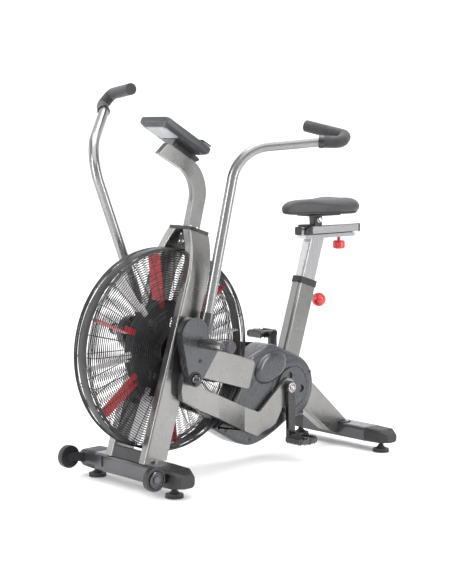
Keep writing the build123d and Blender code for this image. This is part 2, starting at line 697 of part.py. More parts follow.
# ---- Connecting rods ----
lug_x = -1.7
lug_z = 350.4
rod_toe_start = 130.0
rod_toe_end = 300.0
rod_outer = (-126.5, -104.5)
rod_inner = (-65.5, -55.5)
with BuildPart() as left_rod:
    slab_y([(-12, 369), (18, 366), (63, 305), (rod_toe_start, 278.2), (rod_toe_start, 203.8),
            (50, 239), (-26, 282), (-31, 312), (-24, 350)], 0, *rod_outer)
    fillet([edge for edge in left_rod.edges().filter_by(Axis.Y) if edge.center().X < fan_x + 60], 9)
    tube_start = Plane(origin=(fan_x + rod_toe_start, 0, 0), x_dir=(0, 1, 0), z_dir=(1, 0, 0))
    with BuildSketch(tube_start) as thick_section:
        with Locations((sum(rod_outer) / 2, 241.0)):
            Rectangle(22, 74.4)
    with BuildSketch(tube_start.offset(rod_toe_end - rod_toe_start)) as thin_section:
        with Locations((sum(rod_inner) / 2, 169.6)):
            Rectangle(10, 81.2)
    loft([thick_section.sketch.faces()[0], thin_section.sketch.faces()[0]])
    slab_y([(rod_toe_end, 210.2), (365, 184), (373, 187), (486, 277), (500, 260), (500, 220),
            (446, 135), (420, 122), (395, 117), (359, 103), (rod_toe_end, 129)], 0, *rod_inner)
    hull_y(pin_x, pin_z, 30, 478, 222, 34, *rod_inner)
    slab_y([(-8, 360), (14, 356), (58, 298), (124, 270), (124, 213), (52, 248), (-18, 288), (-22, 312),
            (-16, 345)], 0, -122, -104, mode=Mode.SUBTRACT)
    bar_y(lug_x, lug_z, 22, *rod_outer)
    bar_y(lug_x, lug_z, 10, -127, -104, mode=Mode.SUBTRACT)
    bar_y(pin_x, pin_z, crank_pin_radius + running_gap, -66, -55, mode=Mode.SUBTRACT)
left_rod.part.label = "left_rod"
export_step(left_rod.part, "parts/left_rod.step")

with BuildPart() as right_rod:
    rod_shift = (2 * (crank_x - pin_x), 0, 2 * (crank_z - pin_z))
    add(mirror(left_rod.part, about=Plane.XZ, mode=Mode.PRIVATE).translate(rod_shift))
right_rod.part.label = "right_rod"
export_step(right_rod.part, "parts/right_rod.step")

# ---- Foot pegs and covers ----
with BuildPart() as foot_pegs:
    for hand in (-1, 1):
        bar_y(pivot_x, pivot_z, peg_pin_radius, *sorted((hand * 100, hand * 160)))
        bar_y(pivot_x, pivot_z, 18, *sorted((hand * 158.35, hand * 256)))
foot_pegs.part.label = "foot_pegs"
export_step(foot_pegs.part, "parts/foot_pegs.step")

with BuildPart() as foot_peg_caps:
    for hand in (-1, 1):
        bar_y(pivot_x, pivot_z, 18.5, *sorted((hand * 256, hand * 293)))
    fillet(foot_peg_caps.edges().filter_by(GeomType.CIRCLE).sort_by(Axis.Y)[0], 6)
    fillet(foot_peg_caps.edges().filter_by(GeomType.CIRCLE).sort_by(Axis.Y)[-1], 6)
foot_peg_caps.part.label = "foot_peg_caps"
export_step(foot_peg_caps.part, "parts/foot_peg_caps.step")

with BuildPart() as pivot_covers:
    for hand in (-1, 1):
        cover_ys = sorted((hand * 100, hand * 103.5))
        slab_y([(-50, 292), (34, 300), (74, 420), (68, 500), (34, 522), (-8, 512), (-46, 420)], 16, *cover_ys)
        bar_y(pivot_x, pivot_z, peg_pin_radius, *sorted((hand * 99, hand * 105)), mode=Mode.SUBTRACT)
pivot_covers.part.label = "pivot_covers"
export_step(pivot_covers.part, "parts/pivot_covers.step")

# ---- Swinging arms ----
path_points = [arm_point(point) for point in arm_path]
socket_low = path_points[0]
socket_way = (path_points[1] - path_points[0]).normalized()
with BuildPart() as left_lever:
    hull_y(0, 491, 54, lug_x, lug_z, 23, -lever_outer_y, -lever_inner_y)
    slab_y([(lug_x, 345), (18, 334), (38, 356), (93, 428), (86, 452), (52, 480), (37, 526), (0, 500)],
           6, -lever_outer_y, -lever_inner_y)
    hull_y(0, 491, 49, lug_x, lug_z, 18, -lever_outer_y + 5, -lever_inner_y + 1, mode=Mode.SUBTRACT)
    bar_y(pivot_x, pivot_z, 24, -lever_outer_y + 4, -lever_inner_y)
    socket_plane = Plane(origin=socket_low - socket_way * 8, z_dir=socket_way)
    with BuildSketch(socket_plane) as socket:
        Circle(24)
    extrude(socket.sketch, amount=66)
    with BuildSketch(socket_plane.offset(8)) as socket_bore:
        Circle(tube_radius)
    extrude(socket_bore.sketch, amount=80, mode=Mode.SUBTRACT)
    bar_y(pivot_x, pivot_z, peg_pin_radius + running_gap, -170, -100, mode=Mode.SUBTRACT)
left_lever.part.label = "left_lever"
export_step(left_lever.part, "parts/left_lever.step")

with BuildPart() as right_lever:
    add(turned(left_lever.part, -2 * swing))
right_lever.part.label = "right_lever"
export_step(right_lever.part, "parts/right_lever.step")

grip_start = path_points[4]
grip_way = (path_points[5] - path_points[4]).normalized()
end_way = (path_points[7] - path_points[6]).normalized()
grip_end = path_points[7] - end_way * 4
grip_path = bent_line([grip_start + grip_way * 8] + path_points[5:7] + [grip_end], arm_bends[4:])
tube_path = bent_line(path_points[:7] + [grip_end], arm_bends)
with BuildPart() as left_handle:
    with BuildSketch(Plane(origin=socket_low, z_dir=socket_way)) as tube_section:
        Circle(tube_radius)
        Circle(tube_radius - 2.5, mode=Mode.SUBTRACT)
    sweep(tube_section.sketch, path=tube_path)
left_handle.part.label = "left_handle"
export_step(left_handle.part, "parts/left_handle.step")

with BuildPart() as right_handle:
    add(turned(left_handle.part, -2 * swing))
right_handle.part.label = "right_handle"
export_step(right_handle.part, "parts/right_handle.step")

with BuildPart() as left_grip:
    with BuildSketch(Plane(origin=grip_start + grip_way * 8, z_dir=grip_way)) as grip_section:
        Circle(grip_radius)
        Circle(tube_radius + 0.03, mode=Mode.SUBTRACT)
    sweep(grip_section.sketch, path=grip_path)
    with BuildSketch(Plane(origin=grip_end, z_dir=end_way)) as grip_cap:
        Circle(grip_radius)
    extrude(grip_cap.sketch, amount=4)
left_grip.part.label = "left_grip"
export_step(left_grip.part, "parts/left_grip.step")

with BuildPart() as right_grip:
    add(turned(left_grip.part, -2 * swing))
right_grip.part.label = "right_grip"
export_step(right_grip.part, "parts/right_grip.step")

# ---- Seat ----
collar_low = 242.0
collar_high = 262.0
with BuildPart() as seat_tube:
    seat_bar(seat_tube_size, 10, -25, collar_low)
    seat_bar((seat_post_size[0] + 0.6, seat_post_size[1] + 0.6), 8, -27, collar_low, mode=Mode.SUBTRACT)
    knob_plane = Plane(origin=seat_plane(207).origin + seat_plane(207).x_dir * 35.8,
                       z_dir=seat_plane(207).x_dir)
    with BuildSketch(knob_plane.offset(2)) as boss:
        Circle(12)
    extrude(boss.sketch, amount=16)
    with BuildSketch(knob_plane.offset(-3)) as pin_bore:
        Circle(6.05)
    extrude(pin_bore.sketch, amount=30, mode=Mode.SUBTRACT)
seat_tube.part.label = "seat_tube"
export_step(seat_tube.part, "parts/seat_tube.step")

with BuildPart() as seat_tube_collar:
    seat_bar((seat_tube_size[0] + 6, seat_tube_size[1] + 6), 13, collar_low - 3, collar_high)
    seat_bar(seat_tube_size, 10, collar_low - 4, collar_low, mode=Mode.SUBTRACT)
    seat_bar((seat_post_size[0] + 0.6, seat_post_size[1] + 0.6), 8, collar_low - 1, collar_high + 1,
             mode=Mode.SUBTRACT)
seat_tube_collar.part.label = "seat_tube_collar"
export_step(seat_tube_collar.part, "parts/seat_tube_collar.step")

with BuildPart() as seat_post:
    seat_bar(seat_post_size, 8, 96, 440)
    seat_bar((seat_post_size[0] - 6, seat_post_size[1] - 6), 6, 90, 400, mode=Mode.SUBTRACT)
    box_between((560, 900), (-60, 60), (rail_z[0], 1000), mode=Mode.SUBTRACT)
    box_between((632, 884), (-22, 22), rail_z)
    with BuildSketch(Plane.XY.offset(700)) as rail_bore:
        with Locations((fan_x + 824, 0)):
            Circle(6.05)
    extrude(rail_bore.sketch, amount=80, mode=Mode.SUBTRACT)
seat_post.part.label = "seat_post"
export_step(seat_post.part, "parts/seat_post.step")

with BuildPart() as rail_clamps:
    box_between((636, 668), (-22, 22), (763, 800))
    fillet(rail_clamps.edges().filter_by(Axis.X).sort_by(Axis.Z)[-2:], 8)
    box_between((630, 670), (-15.3, 15.3), (760, 793.4), mode=Mode.SUBTRACT)
rail_clamps.part.label = "rail_clamps"
export_step(rail_clamps.part, "parts/rail_clamps.step")

with BuildPart() as slider_tube:
    with BuildSketch(Plane.YZ.offset(fan_x + slider_x[0])) as tube_profile:
        with Locations((0, sum(slider_z) / 2)):
            RectangleRounded(30, slider_z[1] - slider_z[0], 4)
            RectangleRounded(25, slider_z[1] - slider_z[0] - 5, 3, mode=Mode.SUBTRACT)
    extrude(tube_profile.sketch, amount=slider_x[1] - slider_x[0])
    with BuildSketch(Plane.YZ.offset(fan_x + slider_x[1])) as tube_end:
        with Locations((0, sum(slider_z) / 2)):
            RectangleRounded(31, slider_z[1] - slider_z[0] + 0.4, 4)
    extrude(tube_end.sketch, amount=6)
slider_tube.part.label = "slider_tube"
export_step(slider_tube.part, "parts/slider_tube.step")

with BuildPart() as saddle_clamp:
    box_between((685, 724), (-15, 15), (793, 832))
    fillet(saddle_clamp.edges().filter_by(Axis.Z), 5)
    box_between((650, 790), (-38, 38), (828, 832))
saddle_clamp.part.label = "saddle_clamp"
export_step(saddle_clamp.part, "parts/saddle_clamp.step")

with BuildPart() as saddle:
    right_half = [(545, 13), (590, 26), (650, 37), (700, 56), (745, 85), (785, 103), (818, 101), (845, 75),
                  (860, 32)]
    left_half = [(x, -y) for x, y in reversed(right_half)]
    with BuildSketch(Plane.XY.offset(832)) as saddle_outline:
        with BuildLine():
            Polyline(*[(fan_x + x, y) for x, y in right_half + left_half], close=True)
        make_face()
        fillet(saddle_outline.vertices(), 9)
    extrude(saddle_outline.sketch, amount=62)
    slab_y([(540, 838), (640, 832), (800, 832), (865, 846), (865, 886), (800, 893), (740, 886),
            (640, 878), (540, 868)], 0, -130, 130, mode=Mode.INTERSECT)
saddle.part.label = "saddle"
export_step(saddle.part, "parts/saddle.step")

with BuildPart() as height_knob:
    with BuildSketch(knob_plane.offset(-0.1)) as knob_pin:
        Circle(6)
    extrude(knob_pin.sketch, amount=44)
    with BuildSketch(knob_plane.offset(19)) as knob_neck:
        Circle(11)
    extrude(knob_neck.sketch, amount=18)
    with Locations(knob_plane.offset(56)):
        Sphere(25)
height_knob.part.label = "height_knob"
export_step(height_knob.part, "parts/height_knob.step")

with BuildPart() as slide_knob:
    with BuildSketch(Plane.XY.offset(706)) as knob_disc:
        with Locations((fan_x + 824, 0)):
            Circle(22)
    extrude(knob_disc.sketch, amount=30)
    fillet(slide_knob.edges().filter_by(GeomType.CIRCLE), 7)
    with BuildSketch(Plane.XY.offset(730)) as knob_stem:
        with Locations((fan_x + 824, 0)):
            Circle(6)
    extrude(knob_stem.sketch, amount=32.6)
slide_knob.part.label = "slide_knob"
export_step(slide_knob.part, "parts/slide_knob.step")
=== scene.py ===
import bpy, bmesh, math
from mathutils import Vector, Matrix


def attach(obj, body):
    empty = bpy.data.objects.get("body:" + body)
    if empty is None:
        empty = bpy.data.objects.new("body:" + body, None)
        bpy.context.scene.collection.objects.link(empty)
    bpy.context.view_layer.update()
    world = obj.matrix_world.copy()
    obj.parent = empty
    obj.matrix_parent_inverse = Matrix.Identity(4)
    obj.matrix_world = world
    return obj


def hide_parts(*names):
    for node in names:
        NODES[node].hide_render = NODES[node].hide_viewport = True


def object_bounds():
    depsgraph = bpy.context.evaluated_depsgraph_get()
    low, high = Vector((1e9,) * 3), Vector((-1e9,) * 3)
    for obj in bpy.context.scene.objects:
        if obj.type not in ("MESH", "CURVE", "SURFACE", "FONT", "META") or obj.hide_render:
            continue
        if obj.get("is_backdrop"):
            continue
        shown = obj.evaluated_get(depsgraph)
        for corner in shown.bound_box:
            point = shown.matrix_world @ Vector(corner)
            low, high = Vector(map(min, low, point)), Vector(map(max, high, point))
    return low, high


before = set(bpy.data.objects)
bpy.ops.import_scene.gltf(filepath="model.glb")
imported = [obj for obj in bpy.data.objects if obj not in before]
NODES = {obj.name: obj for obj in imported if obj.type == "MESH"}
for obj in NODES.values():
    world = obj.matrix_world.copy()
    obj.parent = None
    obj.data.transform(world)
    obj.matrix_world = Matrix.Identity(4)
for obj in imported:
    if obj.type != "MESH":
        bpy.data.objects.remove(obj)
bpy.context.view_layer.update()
FAN_X = -0.2965                 # fan axis, metres
FAN_Z = 430                     # heights and places below are in millimetres, as P takes them
PIVOT_X, PIVOT_Z = 30, 463      # arm pivot and foot pegs
CRANK_X, CRANK_Z = 537.5, 246.5
PIN_LEFT = (506.2, 253.15)      # crank pins at rest
PIN_RIGHT = (568.8, 239.85)
PEDAL_LEFT = (509, 79.5)
PEDAL_RIGHT = (566, 413.5)
LEAN = math.radians(17.7)       # uprights and mast lean back
ARM_TILT = math.radians(15.7)   # each arm's angle from mid travel at rest
SIDES = ((-1, "left"), (1, "right"))


def P(x, y, z):
    """Point from millimetres: x from the fan axis, y to the right, z from the floor."""
    return Vector((FAN_X + x / 1000, y / 1000, z / 1000))


# ------------------------------------------------------------------ materials
def new_mat(name):
    m = bpy.data.materials.new(name)
    m.use_nodes = True
    nt = m.node_tree
    nt.nodes.clear()
    out = nt.nodes.new("ShaderNodeOutputMaterial")
    bsdf = nt.nodes.new("ShaderNodeBsdfPrincipled")
    nt.links.new(bsdf.outputs[0], out.inputs[0])
    return m, nt, bsdf


def link(nt, a, b):
    nt.links.new(a, b)


def node(nt, kind, **props):
    n = nt.nodes.new(kind)
    for k, v in props.items():
        setattr(n, k, v)
    return n


def coords(nt, scale):
    tc = node(nt, "ShaderNodeTexCoord")
    mp = node(nt, "ShaderNodeMapping")
    mp.inputs["Scale"].default_value = scale if hasattr(scale, "__len__") else (scale,) * 3
    link(nt, tc.outputs["Object"], mp.inputs["Vector"])
    return mp.outputs["Vector"]


def noise(nt, scale, detail=3.0, rough=0.5):
    n = node(nt, "ShaderNodeTexNoise")
    n.inputs["Scale"].default_value = 1.0
    n.inputs["Detail"].default_value = detail
    n.inputs["Roughness"].default_value = rough
    link(nt, coords(nt, scale), n.inputs["Vector"])
    return n.outputs["Fac"]


def voronoi(nt, scale, feature="F1", output="Distance"):
    n = node(nt, "ShaderNodeTexVoronoi", feature=feature)
    n.inputs["Scale"].default_value = 1.0
    link(nt, coords(nt, scale), n.inputs["Vector"])
    return n.outputs[output]


def ramp(nt, fac, stops):
    r = node(nt, "ShaderNodeValToRGB")
    e = r.color_ramp.elements
    while len(e) < len(stops):
        e.new(0.5)
    for el, (pos, val) in zip(e, stops):
        el.position = pos
        el.color = (val, val, val, 1) if isinstance(val, (int, float)) else (*val, 1)
    link(nt, fac, r.inputs["Fac"])
    return r.outputs["Color"]


def remap(nt, fac, low, high, fl=0.3, fh=0.7):
    r = node(nt, "ShaderNodeMapRange")
    r.inputs["From Min"].default_value = fl
    r.inputs["From Max"].default_value = fh
    r.inputs["To Min"].default_value = low
    r.inputs["To Max"].default_value = high
    link(nt, fac, r.inputs["Value"])
    return r.outputs["Result"]


def bump(nt, height, bsdf, strength, distance, previous=None):
    b = node(nt, "ShaderNodeBump")
    b.inputs["Strength"].default_value = strength
    b.inputs["Distance"].default_value = distance
    link(nt, height, b.inputs["Height"])
    if previous is not None:
        link(nt, previous, b.inputs["Normal"])
    link(nt, b.outputs["Normal"], bsdf.inputs["Normal"])
    return b.outputs["Normal"]


def shade(c, k):
    return tuple(min(1.0, x * k) for x in c)


def edge_wear(nt, colour, worn):
    """Mixes a worn colour in along sharp outer edges, broken up by noise."""
    geo = node(nt, "ShaderNodeNewGeometry")
    edges = remap(nt, geo.outputs["Pointiness"], 0.0, 1.0, 0.53, 0.60)
    speck = remap(nt, noise(nt, 160, 5), 0.0, 1.0, 0.45, 0.62)
    mul = node(nt, "ShaderNodeMath", operation="MULTIPLY")
    link(nt, edges, mul.inputs[0])
    link(nt, speck, mul.inputs[1])
    mix = node(nt, "ShaderNodeMix", data_type="RGBA")
    link(nt, mul.outputs[0], mix.inputs["Factor"])
    link(nt, colour, mix.inputs["A"])
    mix.inputs["B"].default_value = (*worn, 1)
    return mix.outputs["Result"]


def metal_paint(name, colour, metallic=0.75, rough=(0.28, 0.38), coat=0.25, flake=0.10, worn=None):
    m, nt, b = new_mat(name)
    base = ramp(nt, noise(nt, 9, 4), [(0.3, shade(colour, 0.93)), (0.7, shade(colour, 1.06))])
    fl = node(nt, "ShaderNodeMix", data_type="RGBA", blend_type="MULTIPLY")
    link(nt, base, fl.inputs["A"])
    flakes = ramp(nt, voronoi(nt, 1500, output="Color"), [(0.0, 1 - flake), (1.0, 1 + flake)])
    link(nt, flakes, fl.inputs["B"])
    fl.inputs["Factor"].default_value = 1.0
    colour_out = fl.outputs["Result"]
    if worn:
        colour_out = edge_wear(nt, colour_out, worn)
    link(nt, colour_out, b.inputs["Base Color"])
    b.inputs["Metallic"].default_value = metallic
    link(nt, remap(nt, noise(nt, 25, 5), *rough), b.inputs["Roughness"])
    b.inputs["Coat Weight"].default_value = coat
    b.inputs["Coat Roughness"].default_value = 0.15
    bump(nt, noise(nt, 420, 2), b, 0.02, 0.0001)
    return m


def plastic(name, colour, rough=(0.42, 0.55), grain=1400, strength=0.10, coat=0.0):
    m, nt, b = new_mat(name)
    base = ramp(nt, noise(nt, 30, 5), [(0.3, shade(colour, 0.88)), (0.72, shade(colour, 1.15))])
    link(nt, base, b.inputs["Base Color"])
    link(nt, remap(nt, noise(nt, 60, 5), *rough), b.inputs["Roughness"])
    b.inputs["Coat Weight"].default_value = coat
    first = bump(nt, voronoi(nt, grain), b, strength, 0.00025)
    bump(nt, noise(nt, 12, 2), b, 0.02, 0.001, first)
    return m


def rubber(name, colour, grain=900, strength=0.5):
    m, nt, b = new_mat(name)
    base = ramp(nt, noise(nt, 45, 6), [(0.3, shade(colour, 0.8)), (0.75, shade(colour, 1.35))])
    link(nt, base, b.inputs["Base Color"])
    link(nt, remap(nt, noise(nt, 90, 4), 0.6, 0.82), b.inputs["Roughness"])
    b.inputs["Sheen Weight"].default_value = 0.15
    bump(nt, voronoi(nt, grain, feature="SMOOTH_F1"), b, strength, 0.0004)
    return m


def brushed(name, colour, stretch, rough=(0.2, 0.34), metallic=1.0):
    """stretch is the noise scale on each axis: low along the brushing."""
    m, nt, b = new_mat(name)
    line = noise(nt, stretch, 6, 0.65)
    base = ramp(nt, line, [(0.3, shade(colour, 0.84)), (0.7, shade(colour, 1.08))])
    link(nt, base, b.inputs["Base Color"])
    b.inputs["Metallic"].default_value = metallic
    link(nt, remap(nt, line, *rough), b.inputs["Roughness"])
    bump(nt, line, b, 0.12, 0.0003)
    return m


def leather(name, colour):
    m, nt, b = new_mat(name)
    cells = voronoi(nt, 520, feature="DISTANCE_TO_EDGE")
    base = ramp(nt, noise(nt, 22, 5), [(0.3, shade(colour, 0.82)), (0.72, shade(colour, 1.22))])
    # painted shade: the grain creases are darkened in the base colour, multiplied in below
    crease_shade = ramp(nt, cells, [(0.0, 0.55), (0.18, 1.0)])
    mul = node(nt, "ShaderNodeMix", data_type="RGBA", blend_type="MULTIPLY")
    mul.inputs["Factor"].default_value = 0.6
    link(nt, base, mul.inputs["A"])
    link(nt, crease_shade, mul.inputs["B"])
    link(nt, mul.outputs["Result"], b.inputs["Base Color"])
    link(nt, remap(nt, noise(nt, 70, 4), 0.42, 0.58), b.inputs["Roughness"])
    b.inputs["Sheen Weight"].default_value = 0.1
    first = bump(nt, remap(nt, cells, 0, 1, 0, 0.25), b, 0.35, 0.0005)
    bump(nt, noise(nt, 60, 4), b, 0.12, 0.0015, first)
    return m


SILVER = metal_paint("frame_silver", (0.215, 0.213, 0.208), 0.92, (0.26, 0.31), 0.3, 0.02)
LEVERM = metal_paint("lever_grey", (0.070, 0.072, 0.077), 0.9, (0.24, 0.30), 0.35, 0.02)
GREY = metal_paint("frame_grey", (0.185, 0.184, 0.182), 0.92, (0.26, 0.31), 0.3, 0.02)
GUNMETAL = metal_paint("base_gunmetal", (0.085, 0.085, 0.092), 0.85, (0.28, 0.34), 0.3, 0.02)
BLACKPAINT = metal_paint("black_paint", (0.010, 0.010, 0.011), 0.0, (0.35, 0.5), 0.1, 0.05)
WIRE = metal_paint("wire_black", (0.004, 0.004, 0.0045), 0.0, (0.34, 0.46), 0.05, 0.03)
HANDLE = metal_paint("handle_silver", (0.24, 0.24, 0.242), 0.95, (0.24, 0.30), 0.2, 0.02)
BLADERED = metal_paint("blade_red", (0.55, 0.006, 0.016), 0.1, (0.35, 0.45), 0.2, 0.06)
BLADEGREY = metal_paint("blade_grey", (0.62, 0.62, 0.64), 0.3, (0.3, 0.42), 0.2, 0.06)
CRANK = metal_paint("crank_black", (0.010, 0.010, 0.011), 0.2, (0.22, 0.34), 0.3, 0.05, (0.06, 0.06, 0.06))
DISC = metal_paint("alloy_disc", (0.026, 0.026, 0.031), 0.2, (0.36, 0.46), 0.1, 0.05)
PLASTIC = plastic("plastic_black", (0.008, 0.008, 0.009))
CHARCOAL = plastic("plastic_charcoal", (0.022, 0.024, 0.029), (0.24, 0.34), 1600, 0.06, 0.35)
DARKGREY = plastic("plastic_dark_grey", (0.028, 0.029, 0.034), (0.3, 0.42), 1600, 0.06, 0.2)
LIGHTPANEL = plastic("panel_silver", (0.27, 0.275, 0.29), (0.3, 0.4), 1600, 0.1)
PEDALP = plastic("pedal_black", (0.012, 0.012, 0.013), (0.24, 0.34), 1400, 0.08, 0.3)
WHEELP = plastic("wheel_plastic", (0.007, 0.007, 0.008), (0.35, 0.48), 1100, 0.3)
PEGCAP = plastic("peg_cap", (0.030, 0.026, 0.036), (0.3, 0.42))
KNOB = plastic("knob_red", (0.46, 0.008, 0.012), (0.22, 0.34), 1500, 0.1, 0.4)
SCREENM = plastic("screen", (0.006, 0.009, 0.012), (0.08, 0.16), 2000, 0.02, 0.6)
FOOT = rubber("foot_rubber", (0.008, 0.008, 0.009))
GRIP = rubber("grip_rubber", (0.016, 0.016, 0.018), 1100, 0.4)
BELT = rubber("belt_rubber", (0.008, 0.008, 0.008))
POST = brushed("post_bright", (0.41, 0.41, 0.42), (700, 700, 14))
SLIDERM = brushed("slider_bright", (0.42, 0.42, 0.43), (14, 700, 700))
STEEL = brushed("steel", (0.36, 0.355, 0.35), (60, 600, 600), (0.16, 0.28))
CHROME = brushed("bolt_steel", (0.58, 0.58, 0.60), (240, 240, 240), (0.10, 0.2))
DARKCHROME = brushed("pin_dark_chrome", (0.075, 0.075, 0.08), (120, 120, 120), (0.05, 0.10))
LEATHER = leather("saddle_cover", (0.026, 0.026, 0.029))


def weld_bevel(o, width):
    """Rounds a CAD node's sharp edges, with modifiers only."""
    w = o.modifiers.new("weld", "WELD")
    w.merge_threshold = 0.00002
    b = o.modifiers.new("bevel", "BEVEL")
    b.width = width
    b.segments = 3
    b.limit_method = "ANGLE"
    b.angle_limit = math.radians(38)
    b.miter_outer = "MITER_ARC"
    b.harden_normals = True


def dress(name, material, bevel):
    o = NODES[name]
    o.data.materials.clear()
    o.data.materials.append(material)
    if bevel > 0:
        weld_bevel(o, bevel)


# node: material, bevel width in metres
DRESS = {
    "front_stabilizer": (GUNMETAL, 0.001), "rear_stabilizer": (GUNMETAL, 0.001),
    "stabilizer_caps": (PLASTIC, 0.002), "left_upright": (SILVER, 0),
    "right_upright": (SILVER, 0), "upright_cap": (BLACKPAINT, 0.001),
    "upright_brace": (BLACKPAINT, 0.002), "left_side_member": (SILVER, 0.0015),
    "right_side_member": (SILVER, 0.0015), "rear_backbone": (SILVER, 0.001),
    "bottom_bracket_shell": (BLACKPAINT, 0.001), "shaft_bearings": (STEEL, 0.0005),
    "seat_tube": (GREY, 0.0005), "seat_tube_collar": (PLASTIC, 0.0015),
    "display_mast": (GREY, 0.003), "console_bracket": (BLACKPAINT, 0.001),
    "console_body": (DARKGREY, 0.001), "console_screen": (SCREENM, 0.0003),
    "left_shroud": (CHARCOAL, 0.003), "right_shroud": (CHARCOAL, 0.003),
    "drive_belts": (BELT, 0), "belt_guard": (PLASTIC, 0.001),
    "foot_pegs": (STEEL, 0.0008), "foot_peg_caps": (PEGCAP, 0.001),
    "pivot_covers": (BLACKPAINT, 0.001), "front_left_foot": (FOOT, 0.0006),
    "front_right_foot": (FOOT, 0.0006), "rear_left_foot": (FOOT, 0.0006),
    "rear_right_foot": (FOOT, 0.0006), "left_wheel": (WHEELP, 0.001),
    "right_wheel": (WHEELP, 0.001), "fan_shaft": (STEEL, 0.0005),
    "fan_disc": (DISC, 0.0005), "red_blades": (BLADERED, 0.0005),
    "grey_blades": (BLADEGREY, 0.0005), "jackshaft": (STEEL, 0.0005),
    "crank_axle": (CHARCOAL, 0.0008), "crank_pulley": (PLASTIC, 0.0005),
    "left_crank_arm": (CRANK, 0.002), "right_crank_arm": (CRANK, 0.002),
    "left_pedal": (PLASTIC, 0.001), "right_pedal": (PLASTIC, 0.001),
    "left_rod": (SILVER, 0.007), "right_rod": (SILVER, 0.007),
    "left_lever": (LEVERM, 0.0048), "right_lever": (LEVERM, 0.0048),
    "left_handle": (HANDLE, 0), "right_handle": (HANDLE, 0),
    "left_grip": (GRIP, 0.003), "right_grip": (GRIP, 0.003),
    "seat_post": (POST, 0.0008), "rail_clamps": (BLACKPAINT, 0.001),
    "slider_tube": (SLIDERM, 0.0006), "saddle_clamp": (BLACKPAINT, 0.001),
    "height_knob": (KNOB, 0.0006), "slide_knob": (KNOB, 0.0006),
}
for node_name, (material, width) in DRESS.items():
    dress(node_name, material, width)


